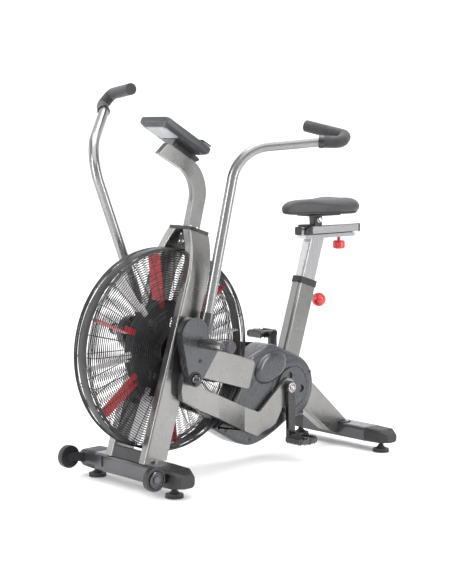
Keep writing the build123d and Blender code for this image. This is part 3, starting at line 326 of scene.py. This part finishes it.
# ------------------------------------------------------------------ mesh tools
class Build:
    """Collects parts of one piece in a bmesh."""

    def __init__(self):
        self.bm = bmesh.new()

    def tube(self, points, radius, sides=8, closed=False):
        """Round tube through points; radius is one number or one per point."""
        pts = [Vector(p) for p in points]
        n = len(pts)
        radii = radius if hasattr(radius, "__len__") else [radius] * n
        rings, normal = [], None
        for i, p in enumerate(pts):
            a = pts[(i - 1) % n] if closed or i > 0 else p
            b = pts[(i + 1) % n] if closed or i < n - 1 else p
            t = (b - a).normalized()
            if normal is None:
                normal = t.orthogonal().normalized()
            normal = (normal - t * normal.dot(t)).normalized()
            side = t.cross(normal)
            rings.append([self.bm.verts.new(p + (normal * math.cos(k * math.tau / sides)
                                                 + side * math.sin(k * math.tau / sides)) * radii[i])
                          for k in range(sides)])
        last = n if closed else n - 1
        for i in range(last):
            r, s = rings[i], rings[(i + 1) % n]
            shift = 0
            if closed and i == n - 1:
                shift = min(range(sides), key=lambda q: (r[0].co - s[q].co).length)
            for k in range(sides):
                near, far = s[(k + shift) % sides], s[(k + 1 + shift) % sides]
                self.bm.faces.new((r[k], r[(k + 1) % sides], far, near))
        if not closed:
            self.bm.faces.new(rings[0][::-1])
            self.bm.faces.new(rings[-1])
        return self

    def ring(self, centre, axis, radius, wire, steps=96, sides=6):
        a = Vector(axis).normalized()
        u = a.orthogonal().normalized()
        v = a.cross(u)
        pts = [centre + (u * math.cos(i * math.tau / steps) + v * math.sin(i * math.tau / steps)) * radius
               for i in range(steps)]
        return self.tube(pts, wire, sides, closed=True)

    def lathe(self, centre, axis, profile, steps=40, flutes=0, depth=0.0):
        """Turned shape: profile is (distance along axis, radius) pairs; flutes cut scallops into it."""
        a = Vector(axis).normalized()
        u = a.orthogonal().normalized()
        v = a.cross(u)
        rings = []
        closed = profile[0] == profile[-1]
        for h, r in profile[:-1] if closed else profile:
            row = []
            for k in range(steps):
                t = k * math.tau / steps
                rr = r - (depth * (0.5 + 0.5 * math.cos(flutes * t)) if flutes and r > 4 * depth else 0)
                spoke = u * math.cos(t) + v * math.sin(t)
                row.append(self.bm.verts.new(centre + a * h + spoke * max(rr, 1e-5)))
            rings.append(row)
        for r, s in zip(rings, rings[1:] + rings[:1] if closed else rings[1:]):
            for k in range(steps):
                self.bm.faces.new((r[k], r[(k + 1) % steps], s[(k + 1) % steps], s[k]))
        if not closed:
            self.bm.faces.new(rings[0][::-1])
            self.bm.faces.new(rings[-1])
        return self

    def block(self, centre, x_axis, y_axis, size, corner=0.0):
        """Box, or a plate with rounded corners, at centre with two of its directions given."""
        x, y = Vector(x_axis).normalized(), Vector(y_axis).normalized()
        z = x.cross(y)
        hx, hy, hz = (s / 2 for s in size)
        outline = []
        for cx, cy, start in ((hx, hy, 0), (-hx, hy, 90), (-hx, -hy, 180), (hx, -hy, 270)):
            steps = 5 if corner > 0 else 1
            for k in range(steps):
                t = math.radians(start + (90 * k / (steps - 1) if steps > 1 else 0))
                ox = cx - math.copysign(corner, cx) + corner * math.cos(t)
                oy = cy - math.copysign(corner, cy) + corner * math.sin(t)
                outline.append((ox, oy))
        low = [self.bm.verts.new(centre + x * a + y * b - z * hz) for a, b in outline]
        high = [self.bm.verts.new(centre + x * a + y * b + z * hz) for a, b in outline]
        n = len(outline)
        for k in range(n):
            self.bm.faces.new((low[k], low[(k + 1) % n], high[(k + 1) % n], high[k]))
        self.bm.faces.new(low[::-1])
        self.bm.faces.new(high)
        return self

    def finish(self, name, material, body, slot=None, replaces=(), bevel=0.0, smooth=35, subdiv=0):
        bmesh.ops.recalc_face_normals(self.bm, faces=self.bm.faces)
        for e in self.bm.edges:
            if len(e.link_faces) == 2:
                e.smooth = e.calc_face_angle(0) < math.radians(smooth)
        for f in self.bm.faces:
            f.smooth = True
        me = bpy.data.meshes.new(name)
        self.bm.to_mesh(me)
        self.bm.free()
        o = bpy.data.objects.new(name, me)
        bpy.context.scene.collection.objects.link(o)
        me.materials.append(material)
        if bevel > 0:
            b = o.modifiers.new("bevel", "BEVEL")
            b.width, b.segments, b.limit_method = bevel, 3, "ANGLE"
            b.angle_limit = math.radians(35)
            b.harden_normals = True
        if subdiv:
            s = o.modifiers.new("subdivision", "SUBSURF")
            s.levels = s.render_levels = subdiv
        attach(o, body)
        if replaces:
            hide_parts(*replaces)
        return o


def bolt(b, centre, axis, radius, height, socket=True):
    """Button head with a hexagon socket, or a hexagon head."""
    if socket:
        head = [(0, radius), (height * 0.45, radius), (height * 0.8, radius * 0.82), (height, radius * 0.55)]
        head += [(height, radius * 0.42), (height * 0.4, radius * 0.4)]
        b.lathe(centre, axis, head, 24)
    else:
        b.lathe(centre, axis, [(0, radius * 1.25), (height * 0.2, radius * 1.25), (height * 0.2, radius),
                               (height * 0.9, radius), (height, radius * 0.86)], 6)


# ------------------------------------------------------------------ cage wires
def cage_side(hand, side_name):
    """One wire face with its shoulder hoops and spokes."""
    b = Build()
    centre = P(0, 0, FAN_Z)
    face = 0.0520
    count = 33
    for i in range(count):
        r = 0.054 + (0.2995 - 0.054) * i / (count - 1)
        b.ring(centre + Vector((0, hand * face, 0)), (0, 1, 0), r, 0.0013, 120, 5)
    shoulder = ((0.3070, 0.0512), (0.3140, 0.0492), (0.3195, 0.0462), (0.3225, 0.0425),
                (0.3235, 0.0380), (0.3235, 0.0325), (0.3235, 0.0270))
    for r, y in shoulder:
        b.ring(centre + Vector((0, hand * y, 0)), (0, 1, 0), r, 0.0015, 120, 5)
    hub = [(0.0490, 0.0545), (0.0535, 0.0545), (0.0535, 0.030), (0.0490, 0.030), (0.0490, 0.0545)]
    b.lathe(centre, (0, hand, 0), hub, 64)
    for k in range(24):
        t = math.radians(15 * k + (1.2 if k % 2 else -1.2))
        d = Vector((math.cos(t), 0, math.sin(t)))
        line = [(0.050, 0.0500), (0.298, 0.0500), (0.3065, 0.0490), (0.3135, 0.0468), (0.3180, 0.0440),
                (0.3205, 0.0400), (0.3212, 0.0350), (0.3212, 0.0100)]
        b.tube([centre + d * r + Vector((0, hand * y, 0)) for r, y in line], 0.0014, 5)
    post = Vector((math.sin(LEAN), 0, math.cos(LEAN)))
    for reach in (-0.178, 0.155):
        c = centre + post * reach + Vector((-0.008, hand * 0.052, 0))
        b.lathe(c, (0, hand, 0), [(0, 0.009), (0.0138, 0.009)], 20)
    return b.finish(side_name + "_grille_wires", WIRE, "frame", "wire_black", [side_name + "_grille"])


for hand, side_name in SIDES:
    cage_side(hand, side_name)
b = Build()
band = [(-0.018, 0.3218), (-0.018, 0.3245), (-0.0165, 0.325), (0.0165, 0.325)]
band += [(0.018, 0.3245), (0.018, 0.3218), (-0.018, 0.3218)]
b.lathe(P(0, 0, FAN_Z), (0, 1, 0), band, 160)
b.finish("cage_rim_band", WIRE, "frame", "wire_black", ["cage_rim"])

# ------------------------------------------------------------------ shroud halves
def arc_points(cx, cz, r, a0, a1, count):
    return [(cx + r * math.cos(math.radians(a0 + (a1 - a0) * i / count)),
             cz + r * math.sin(math.radians(a0 + (a1 - a0) * i / count))) for i in range(count + 1)]


def smooth_run(points, count):
    """Catmull-Rom points through a list of tuples of any length."""
    out = []
    for i in range(len(points) - 1):
        p0, p1, p2 = points[max(i - 1, 0)], points[i], points[i + 1]
        p3 = points[min(i + 2, len(points) - 1)]
        for k in range(count):
            t = k / count
            out.append(tuple(0.5 * (2 * b + (c - a) * t + (2 * a - 5 * b + 4 * c - d) * t * t
                                    + (3 * b - a - 3 * c + d) * t ** 3)
                             for a, b, c, d in zip(p0, p1, p2, p3)))
    out.append(tuple(points[-1]))
    return out


def shroud_outline():
    belly = [(188, 157), (186, 146), (240, 113), (295, 83), (351, 69), (412, 80), (470, 103), (520, 129)]
    pts = smooth_run(belly, 5)
    pts += arc_points(CRANK_X, CRANK_Z, 113, -88, 67, 34)
    pts += arc_points(443, 342, 62, 67, 107, 9)
    pts += [(392, 389.5), (358, 377.5)]
    pts += arc_points(0, FAN_Z, 333.5, -11.5, -54, 26)
    return pts


def inset(points, distance):
    """Moves a closed outline inward along its own normals."""
    n = len(points)
    out = []
    for i, (x, z) in enumerate(points):
        (x0, z0), (x1, z1) = points[i - 1], points[(i + 1) % n]
        dx, dz = x1 - x0, z1 - z0
        length = math.hypot(dx, dz) or 1
        out.append((x - dz / length * distance, z + dx / length * distance))
    return out


def shroud_half(hand, name):
    """One moulded half; the left one has the bulge over the intermediate shaft."""
    outline = shroud_outline()
    b = Build()
    rows = []
    layers = [(0.6, 1.6), (0.6, 0.0), (34, 0.0)]
    for a in range(15, 91, 15):
        layers.append((34 + 14 * math.sin(math.radians(a)), 14 - 14 * math.cos(math.radians(a))))
    for y, d in layers:
        rows.append([b.bm.verts.new(P(x, hand * y, z)) for x, z in inset(outline, d)])
    n = len(outline)
    for r, s in zip(rows, rows[1:]):
        for k in range(n):
            b.bm.faces.new((r[k], r[(k + 1) % n], s[(k + 1) % n], s[k]))
    b.bm.faces.new(rows[-1])
    rim = [(0.0475, 0.094), (0.0496, 0.0925), (0.0502, 0.090), (0.0502, 0.078)]
    rim += [(0.0496, 0.0755), (0.0475, 0.0745), (0.0475, 0.094)]
    b.lathe(P(CRANK_X, 0, CRANK_Z), (0, hand, 0), rim, 72)
    if hand < 0:
        rows = []
        bulge = ((36, 1.0), (44, 0.99), (51, 0.955), (56, 0.90), (59.5, 0.82), (61.5, 0.72), (62.3, 0.60))
        for y, k in bulge:
            row = []
            for q in range(56):
                u = 80 * k * math.cos(q * math.tau / 56)
                w = 52 * k * math.sin(q * math.tau / 56)
                row.append(b.bm.verts.new(P(436 + 0.94 * u - 0.34 * w, -y, 327 + 0.34 * u + 0.94 * w)))
            rows.append(row)
        for r, t in zip(rows, rows[1:]):
            for q in range(56):
                b.bm.faces.new((r[q], r[(q + 1) % 56], t[(q + 1) % 56], t[q]))
        b.bm.faces.new(rows[-1])
    b.finish(name + "_shroud_cover", CHARCOAL, "frame", "plastic_charcoal", [name + "_shroud"], smooth=50)
    s = Build()
    screw = [(0, 0.0062), (0.0018, 0.0062), (0.0030, 0.0048), (0.0032, 0.0020), (0.0022, 0.0018)]
    for x, z in ((231, 136), (340, 92), (452, 112), (592, 152), (629, 290), (352, 352)):
        s.lathe(P(x, hand * 46.5, z), (0, hand, 0), screw, 20)
    s.finish(name + "_shroud_screws", BLACKPAINT, "frame", "black_paint")


for hand, side_name in SIDES:
    shroud_half(hand, side_name)

# ------------------------------------------------------------------ saddle
# stations along the saddle, nose first: x, half width, top height, bottom height
SADDLE = [
    (546, 3, 856, 851), (551, 15, 866, 846), (565, 21.5, 877, 842), (590, 26, 884, 839.5),
    (640, 35, 888, 837.5), (700, 56, 887, 837), (745, 84, 888, 837), (785, 101, 890.5, 837),
    (815, 100, 891, 838), (840, 82, 887, 841), (853, 58, 879, 846), (859, 30, 866, 854),
]
stations = smooth_run(SADDLE, 3)


def saddle_point(i, turn, grow=0.0):
    x, w, top, low = stations[i]
    mid, up, down = low + (top - low) * 0.42, (top - low) * 0.58, (top - low) * 0.42
    c, s = math.cos(turn), math.sin(turn)
    y = (w + grow) * math.copysign(abs(c) ** 0.55, c)
    z = mid + ((up + grow) * abs(s) ** 0.95 if s > 0 else -(down + grow) * abs(s) ** 0.6)
    if s > 0:                                   # shallow relief channel along the middle
        front = max(0.0, min(1.0, (x - 600) / 60))
        back = max(0.0, min(1.0, (850 - x) / 50))
        z -= 5.0 * math.exp(-(y / 13.0) ** 2) * front * back
    return P(x, y, z)


b = Build()
rows = []
sides = 40
for i in range(len(stations)):
    rows.append([b.bm.verts.new(saddle_point(i, k * math.tau / sides)) for k in range(sides)])
for r, s in zip(rows, rows[1:]):
    for k in range(sides):
        b.bm.faces.new((r[k], r[(k + 1) % sides], s[(k + 1) % sides], s[k]))
b.bm.faces.new(rows[0][::-1])
b.bm.faces.new(rows[-1])
saddle = b.finish("saddle_cushion", LEATHER, "saddle_carriage", "saddle_cover", ["saddle"],
                  smooth=180, subdiv=1)
b = Build()
last = len(stations) - 1
left, rgt = [], []
for i in range(1, last + 1):
    turn = math.radians(20 + 16 * math.sin((stations[i][0] - 560) / 300 * math.pi * 1.6 + 0.6))
    left.append(saddle_point(i, math.pi - turn, 0.2))
    rgt.append(saddle_point(i, turn, 0.2))
b.tube(left + rgt[::-1], 0.0011, 6)
b.finish("saddle_piping", GRIP, "saddle_carriage", "saddle_cover", smooth=60)
b = Build()
ring_rows = []
for i in range(2, last, 2):
    x, w, _, low = stations[i]
    section = [(-0.90, 4), (-0.84, -2), (-0.55, -4), (0, -4.6), (0.55, -4), (0.84, -2), (0.90, 4)]
    ring_rows.append([b.bm.verts.new(P(x, w * q, low + dz)) for q, dz in section])
for r, s in zip(ring_rows, ring_rows[1:]):
    for k in range(6):
        b.bm.faces.new((r[k], r[k + 1], s[k + 1], s[k]))
shell = b.finish("saddle_base_shell", PLASTIC, "saddle_carriage", "plastic_black", smooth=60)
solid = shell.modifiers.new("thickness", "SOLIDIFY")
solid.thickness = 0.0025

# ------------------------------------------------------------------ small parts
b = Build()
for hand in (-1, 1):
    prof = [(0.1585, 0.0150), (0.1590, 0.0182), (0.1620, 0.0182), (0.1625, 0.0178)]
    prof += [(0.2740, 0.0178), (0.2745, 0.0182), (0.2778, 0.0182), (0.2780, 0.0150)]
    b.lathe(P(PIVOT_X, 0, PIVOT_Z), (0, hand, 0), prof, 96, 14, 0.0016)
b.finish("foot_peg_sleeves", STEEL, "frame", "steel", smooth=25)
b = Build()
for hand in (-1, 1):
    prof = [(0.2782, 0.0184), (0.2790, 0.0192), (0.2800, 0.0194), (0.2880, 0.0194)]
    prof += [(0.2910, 0.0186), (0.2925, 0.0165), (0.2930, 0.0120), (0.2930, 0.0010)]
    b.lathe(P(PIVOT_X, 0, PIVOT_Z), (0, hand, 0), prof, 48)
b.finish("foot_peg_end_caps", PEGCAP, "frame", "peg_cap", ["foot_peg_caps"])

pivot = P(PIVOT_X, 0, PIVOT_Z)
to_right = Matrix.Translation(pivot) @ Matrix.Rotation(-2 * ARM_TILT, 4, "Y") @ Matrix.Translation(-pivot)


def arm_place(points, hand):
    """Left arm points in the row frame, or the same points mirrored and swung to the right arm's rest."""
    if hand < 0:
        return [Vector(p) for p in points]
    return [to_right @ Vector((p[0], -p[1], p[2])) for p in points]


def arm_dir(v, hand):
    a, o = arm_place([P(0, 0, 0), P(0, 0, 0) + Vector(v)], hand)
    return o - a


ball = []
for t in range(100, 2, -7):
    ball.append((0.0195 - 0.0195 * math.cos(math.radians(t)), 0.0195 * math.sin(math.radians(t))))
pin_ring = [(0.0002, 0.0190), (0.0002, 0.0240), (0.0035, 0.0240), (0.0045, 0.0228)]
pin_ring += [(0.0045, 0.0200), (0.0030, 0.0190), (0.0002, 0.0190)]
for hand, side_name in SIDES:
    body = side_name + "_arm"
    pin = arm_place([P(-1.7, -158, 350.4)], hand)[0]
    out = arm_dir((0, -1, 0), hand)
    b = Build()
    b.lathe(pin + out * 0.0235, -out, ball[::-1] + [(0.0235, 0.0180)], 40)
    b.finish(side_name + "_lever_pin_cap", DARKCHROME, body, "steel")
    b = Build()
    b.lathe(pin, out, pin_ring, 48)
    b.finish(side_name + "_lever_pin_ring", BLACKPAINT, body, "black_paint")
    b = Build()
    screw_at = arm_place([P(19, -158, 406)], hand)[0]
    bolt(b, screw_at - out * 0.0004, out, 0.0062, 0.0034)
    b.finish(side_name + "_lever_screws", BLACKPAINT, body, "black_paint")

# Ribbed collar where each grip starts, placed from the arm's points at mid travel
collar = [(-0.004, 0.0176)]
for k in range(3):
    start = -0.004 + 0.0055 * k
    collar += [(start, 0.0212), (start + 0.0035, 0.0212), (start + 0.0042, 0.0196), (start + 0.0051, 0.0196)]
collar += [(0.014, 0.0198), (0.014, 0.0176), (-0.004, 0.0176)]
ends = []
for back, up, out_y in ((175, 701, 306), (219.8, 711.7, 367.4)):
    ends.append(P(PIVOT_X + math.cos(ARM_TILT) * back + math.sin(ARM_TILT) * up, -out_y,
                  PIVOT_Z - math.sin(ARM_TILT) * back + math.cos(ARM_TILT) * up))
for hand, side_name in SIDES:
    low_end, high_end = arm_place(ends, hand)
    way = (high_end - low_end).normalized()
    b = Build()
    b.lathe(low_end + way * 0.010, way, collar, 40)
    b.finish(side_name + "_grip_collar", PEDALP, side_name + "_arm", "grip_rubber", smooth=30)

b = Build()
boss = [(0, 0.0178), (0.0025, 0.0178), (0.0040, 0.0160), (0.0040, 0.0118), (0.0022, 0.0112)]
boss += [(0.0022, 0.0096), (0.0056, 0.0092), (0.0064, 0.0070), (0.0052, 0.0050), (0.0052, 0.0004)]
for (x, z), hand in ((PIN_LEFT, -1), (PIN_RIGHT, 1)):
    b.lathe(P(x, 0, z) + Vector((0, hand * 0.0815, 0)), (0, hand, 0), boss, 40)
b.finish("crank_boss_collars", STEEL, "crank", "steel")

spindle = [(0, 0.0095), (0, 0.0140), (0.010, 0.0140), (0.014, 0.0112), (0.052, 0.0104), (0.070, 0.0104)]
spindle += [(0.074, 0.0132), (0.082, 0.0132), (0.083, 0.0110)]
spindle += [(0.083, 0.0095), (0.079, 0.0060), (0.079, 0.0005)]
corner_post = [(0, 0.0050), (0.0014, 0.0062), (0.0162, 0.0062), (0.0176, 0.0050)]
rail_tooth = [(0, 0.0044), (0.0032, 0.0034), (0.0072, 0.0010)]
end_tooth = [(0, 0.0040), (0.0030, 0.0032), (0.0062, 0.0010)]
END_PLATES = (89.0, 163.5)      # distance of each pedal end plate from the middle plane
for (cx, cz), (hand, side_name) in zip((PEDAL_LEFT, PEDAL_RIGHT), SIDES):
    b = Build()
    b.lathe(P(cx, hand * 84.2, cz), (0, hand, 0), spindle, 32)
    for end in (-1, 1):
        b.block(P(cx + end * 36.2, hand * 126, cz), (0, 1, 0), (0, 0, 1), (0.064, 0.0150, 0.0062), 0.0035)
        b.block(P(cx + end * 30.4, hand * 126, cz), (0, 1, 0), (0, 0, 1), (0.072, 0.0060, 0.0090), 0.0012)
        for side in END_PLATES:
            b.block(P(cx + end * 21.5, hand * side, cz), (1, 0, 0), (0, 0, 1), (0.030, 0.0140, 0.0070), 0.004)
            inward = 4.4 if side < 100 else -4.4
            corner = P(cx + end * 35.2, hand * (side + inward), cz)
            b.lathe(corner - Vector((0, 0, 0.0088)), (0, 0, 1), corner_post, 16)
        for side in (112, 140):
            web = P(cx + end * 22.0, hand * side, cz)
            b.block(web, (1, 0, 0), (0, 0, 1), (0.026, 0.0085, 0.0042), 0.0012)
        for rail in (-1, 1):
            for k in range(7):
                y = hand * (97 + 58 * k / 6)
                b.lathe(P(cx + end * 36.2, y, cz + rail * 7.2), (0, 0, rail), rail_tooth, 4)
            for side in END_PLATES:
                for x in (14, 24):
                    b.lathe(P(cx + end * x, hand * side, cz + rail * 6.6), (0, 0, rail), end_tooth, 4)
    b.finish(side_name + "_pedal_cage", PEDALP, side_name + "_pedal_body", "plastic_black",
             [side_name + "_pedal"], bevel=0.0005)

# Console panel, keys and ledge, in the plane of its top face
top = P(62.5, 0, 1119)
ux, uz = Vector((0.8716, 0, -0.4902)), Vector((0.4902, 0, 0.8716))
uy = Vector((0, 1, 0))


def con(x, y, h):
    return top + ux * (x / 1000) + uy * (y / 1000) + uz * (h / 1000)


b = Build()
rows = []
shell_layers = [(-0.4, 9), (-0.4, 3), (-2.6, 0.6), (-5, 0), (-18, 0)]
shell_layers += [(-20.5, 1.5), (-22, 1.8), (-30, 12), (-30, 19)]
for h, d in shell_layers:
    row = []
    for cx, cy, start in ((106, 67, 0), (-106, 67, 90), (-106, -67, 180), (106, -67, 270)):
        for k in range(5):
            t = math.radians(start + 22.5 * k)
            x = math.copysign(abs(cx) - d - 11, cx) + 11 * math.cos(t)
            y = math.copysign(abs(cy) - d - 11, cy) + 11 * math.sin(t)
            row.append(b.bm.verts.new(con(x, y, h)))
    rows.append(row)
for r, t in zip(rows, rows[1:]):
    for q in range(20):
        b.bm.faces.new((r[q], r[(q + 1) % 20], t[(q + 1) % 20], t[q]))
b.bm.faces.new(rows[0])
b.bm.faces.new(rows[-1])
b.block(con(90, 0, 11), ux, uy, (0.046, 0.104, 0.0032), 0.006)
b.block(con(76, 0, 5), ux, uy, (0.010, 0.090, 0.0115), 0.003)
b.finish("console_housing", DARKGREY, "frame", "plastic_dark_grey", ["console_body"],
         bevel=0.0008, smooth=25)
b = Build()
b.block(con(-55, 0, -30.7), ux, uy, (0.070, 0.100, 0.0026), 0.012)
for sx, sy in ((-82, -41), (-82, 41), (-28, -41), (-28, 41)):
    b.lathe(con(sx, sy, -31.9), -uz, [(0, 0.0042), (0.0010, 0.0042), (0.0016, 0.0030), (0.0008, 0.0014)], 16)
b.finish("console_back_panel", LIGHTPANEL, "frame", "handle_silver", bevel=0.0012)
b = Build()
for i in range(2):
    for j in range(4):
        b.block(con(66 - 11 * i, -36 + 24 * j, 0.8), ux, uy, (0.0075, 0.017, 0.0018), 0.003)
b.block(con(-26, 0, 0.1), ux, uy, (0.136, 0.112, 0.0012), 0.008)
b.finish("console_keys", PLASTIC, "frame", "plastic_black", bevel=0.0005)
b = Build()
b.block(con(-26, 0, 0.9), ux, uy, (0.124, 0.100, 0.0008), 0.006)
b.finish("console_window", SCREENM, "frame", "screen", ["console_screen"], bevel=0.0003)

# Wheel hubs
wheel_hub = [(-0.001, 0.0265), (0.0014, 0.0265), (0.0022, 0.0250), (0.0022, 0.0215), (0.0006, 0.0205)]
wheel_hub += [(0.0006, 0.0140), (0.0030, 0.0130), (0.0034, 0.0100), (0.0020, 0.0090), (0.0020, 0.0005)]
for hand, side_name in SIDES:
    b = Build()
    b.lathe(P(-220, hand * 225.3, 76.6), (0, hand, 0), wheel_hub, 72, 24, 0.0007)
    b.finish(side_name + "_wheel_hub", DARKCHROME, side_name + "_wheel_body", "steel", smooth=30)

# Bolts and plates on the frame
b = Build()
lean_up = Vector((math.sin(LEAN), 0, math.cos(LEAN)))
lean_fwd = Vector((-math.cos(LEAN), 0, math.sin(LEAN)))
for y in (-9, 9):
    for h in (0.0, 0.024):
        bolt(b, P(80.5, y, 772) + lean_up * h, lean_fwd, 0.0056, 0.0042)
for hand in (-1, 1):
    for at in ((118, 789), (92, 797)):
        bolt(b, P(at[0], hand * 30, at[1] + 23), lean_up, 0.006, 0.0045)
    bolt(b, P(836, hand * 34, 83), (0, 0, 1), 0.0075, 0.0055, False)
    bolt(b, P(-119, hand * 112, 93), (0, 0, 1), 0.0075, 0.0055, False)
b.finish("frame_bolts", CHROME, "frame", "steel")
b = Build()
b.block(P(82.5, 0, 782), lean_up, (0, 1, 0), (0.046, 0.034, 0.003), 0.005)
b.block(P(826, 0, 84.5), (1, 0, 0), (0, 1, 0), (0.050, 0.092, 0.0035), 0.01)
b.finish("frame_plates", BLACKPAINT, "frame", "black_paint", bevel=0.0008)

# Slider end caps, clamp lever, saddle clamp bolts
b = Build()
b.block(P(915.2, 0, 778.1), (0, 1, 0), (0, 0, 1), (0.0325, 0.0315, 0.0072), 0.005)
b.block(P(616.6, 0, 778.1), (0, 1, 0), (0, 0, 1), (0.0305, 0.0295, 0.0032), 0.005)
b.finish("slider_caps", PLASTIC, "saddle_carriage", "plastic_black", bevel=0.0012)
b = Build()
lever_line = [P(650, -22, 788), P(646, -27, 790), P(636, -31, 786), P(624, -33, 776), P(619, -33.5, 766)]
b.tube(lever_line, [0.004, 0.005, 0.0052, 0.005, 0.0038], 12)
b.lathe(P(652, -22, 788), (0, -1, 0), [(0, 0.010), (0.006, 0.010), (0.008, 0.008), (0.008, 0.002)], 24)
b.finish("rail_clamp_lever", PLASTIC, "seat_post_body", "plastic_black", smooth=60)
b = Build()
for hand in (-1, 1):
    nut = [(0, 0.011), (0.004, 0.011), (0.005, 0.009), (0.012, 0.0085), (0.013, 0.006), (0.013, 0.0005)]
    b.lathe(P(704, hand * 15, 816), (0, hand, 0), nut, 24)
b.finish("saddle_clamp_nuts", CHROME, "saddle_carriage", "steel")

# ------------------------------------------------------------------ camera, floor and light
CAMERA_TURN = 0.7473
cam_data = bpy.data.cameras.new("camera")
cam_data.lens = 90.2
cam_data.sensor_width = 36
cam_data.clip_end = 100
cam = bpy.data.objects.new("camera", cam_data)
bpy.context.scene.collection.objects.link(cam)
cam.location = (-3.3031, -3.5425, 1.1370)
cam.rotation_euler = (math.pi / 2 - 0.1124, 0, -CAMERA_TURN)
bpy.context.scene.camera = cam

look = Vector((math.sin(CAMERA_TURN), math.cos(CAMERA_TURN), 0))
right = Vector((look.y, -look.x, 0))
b = Build()
rows = []
profile = [(-50, 0.0), (3.2, 0.0)]
for a in range(10, 91, 10):
    profile.append((3.2 + 3 * math.sin(math.radians(a)), 3 - 3 * math.cos(math.radians(a))))
profile += [(6.2, 30)]
for d, h in profile:
    rows.append([b.bm.verts.new(look * d + right * s + Vector((0, 0, h))) for s in (-50, 50)])
for r, s in zip(rows, rows[1:]):
    b.bm.faces.new((r[0], r[1], s[1], s[0]))
FLOORM, nt, bsdf = new_mat("studio_paper")
link(nt, ramp(nt, noise(nt, 1.5, 2), [(0.3, 0.90), (0.7, 0.93)]), bsdf.inputs["Base Color"])
bsdf.inputs["Roughness"].default_value = 0.6
bump(nt, noise(nt, 300, 2), bsdf, 0.02, 0.001)
for f in b.bm.faces:
    f.smooth = True
me = bpy.data.meshes.new("backdrop")
b.bm.to_mesh(me)
b.bm.free()
floor = bpy.data.objects.new("backdrop", me)
me.materials.append(FLOORM)
bpy.context.scene.collection.objects.link(floor)
floor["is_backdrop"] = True
bpy.context.scene.view_settings.view_transform = "Standard"

world = bpy.data.worlds.new("studio")
bpy.context.scene.world = world
world.use_nodes = True
wnt = world.node_tree
height = node(wnt, "ShaderNodeSeparateXYZ")
link(wnt, node(wnt, "ShaderNodeTexCoord").outputs["Generated"], height.inputs[0])
glow = ramp(wnt, height.outputs["Z"], [(0.0, 0.95), (0.16, 0.9), (0.30, 0.36), (1.0, 0.42)])
link(wnt, glow, wnt.nodes["Background"].inputs["Color"])


def area(name, at, aim, size, power):
    d = bpy.data.lights.new(name, "AREA")
    d.shape = "RECTANGLE"
    d.size, d.size_y = size
    d.energy = power
    o = bpy.data.objects.new(name, d)
    o.location = at
    o.rotation_euler = (Vector(aim) - Vector(at)).to_track_quat("-Z", "Y").to_euler()
    bpy.context.scene.collection.objects.link(o)


sun_data = bpy.data.lights.new("sky", "SUN")
sun_data.energy = 2.3
sun_data.angle = math.radians(70)
sun = bpy.data.objects.new("sky", sun_data)
sun.rotation_euler = (math.radians(28), math.radians(-14), 0)
bpy.context.scene.collection.objects.link(sun)
area("strip_left", (-3.0, 0.2, 1.3), (0.0, 0, 0.6), (0.7, 2.6), 60)
area("strip_far", (-2.1, 2.6, 1.5), (0.1, 0, 0.6), (0.9, 2.6), 14)
area("strip_right", (1.2, -3.0, 1.5), (0.1, 0, 0.7), (0.7, 2.6), 60)
area("top", (0.2, 0.3, 3.2), (0.1, 0, 0.4), (2.4, 1.6), 60)

low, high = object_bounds()
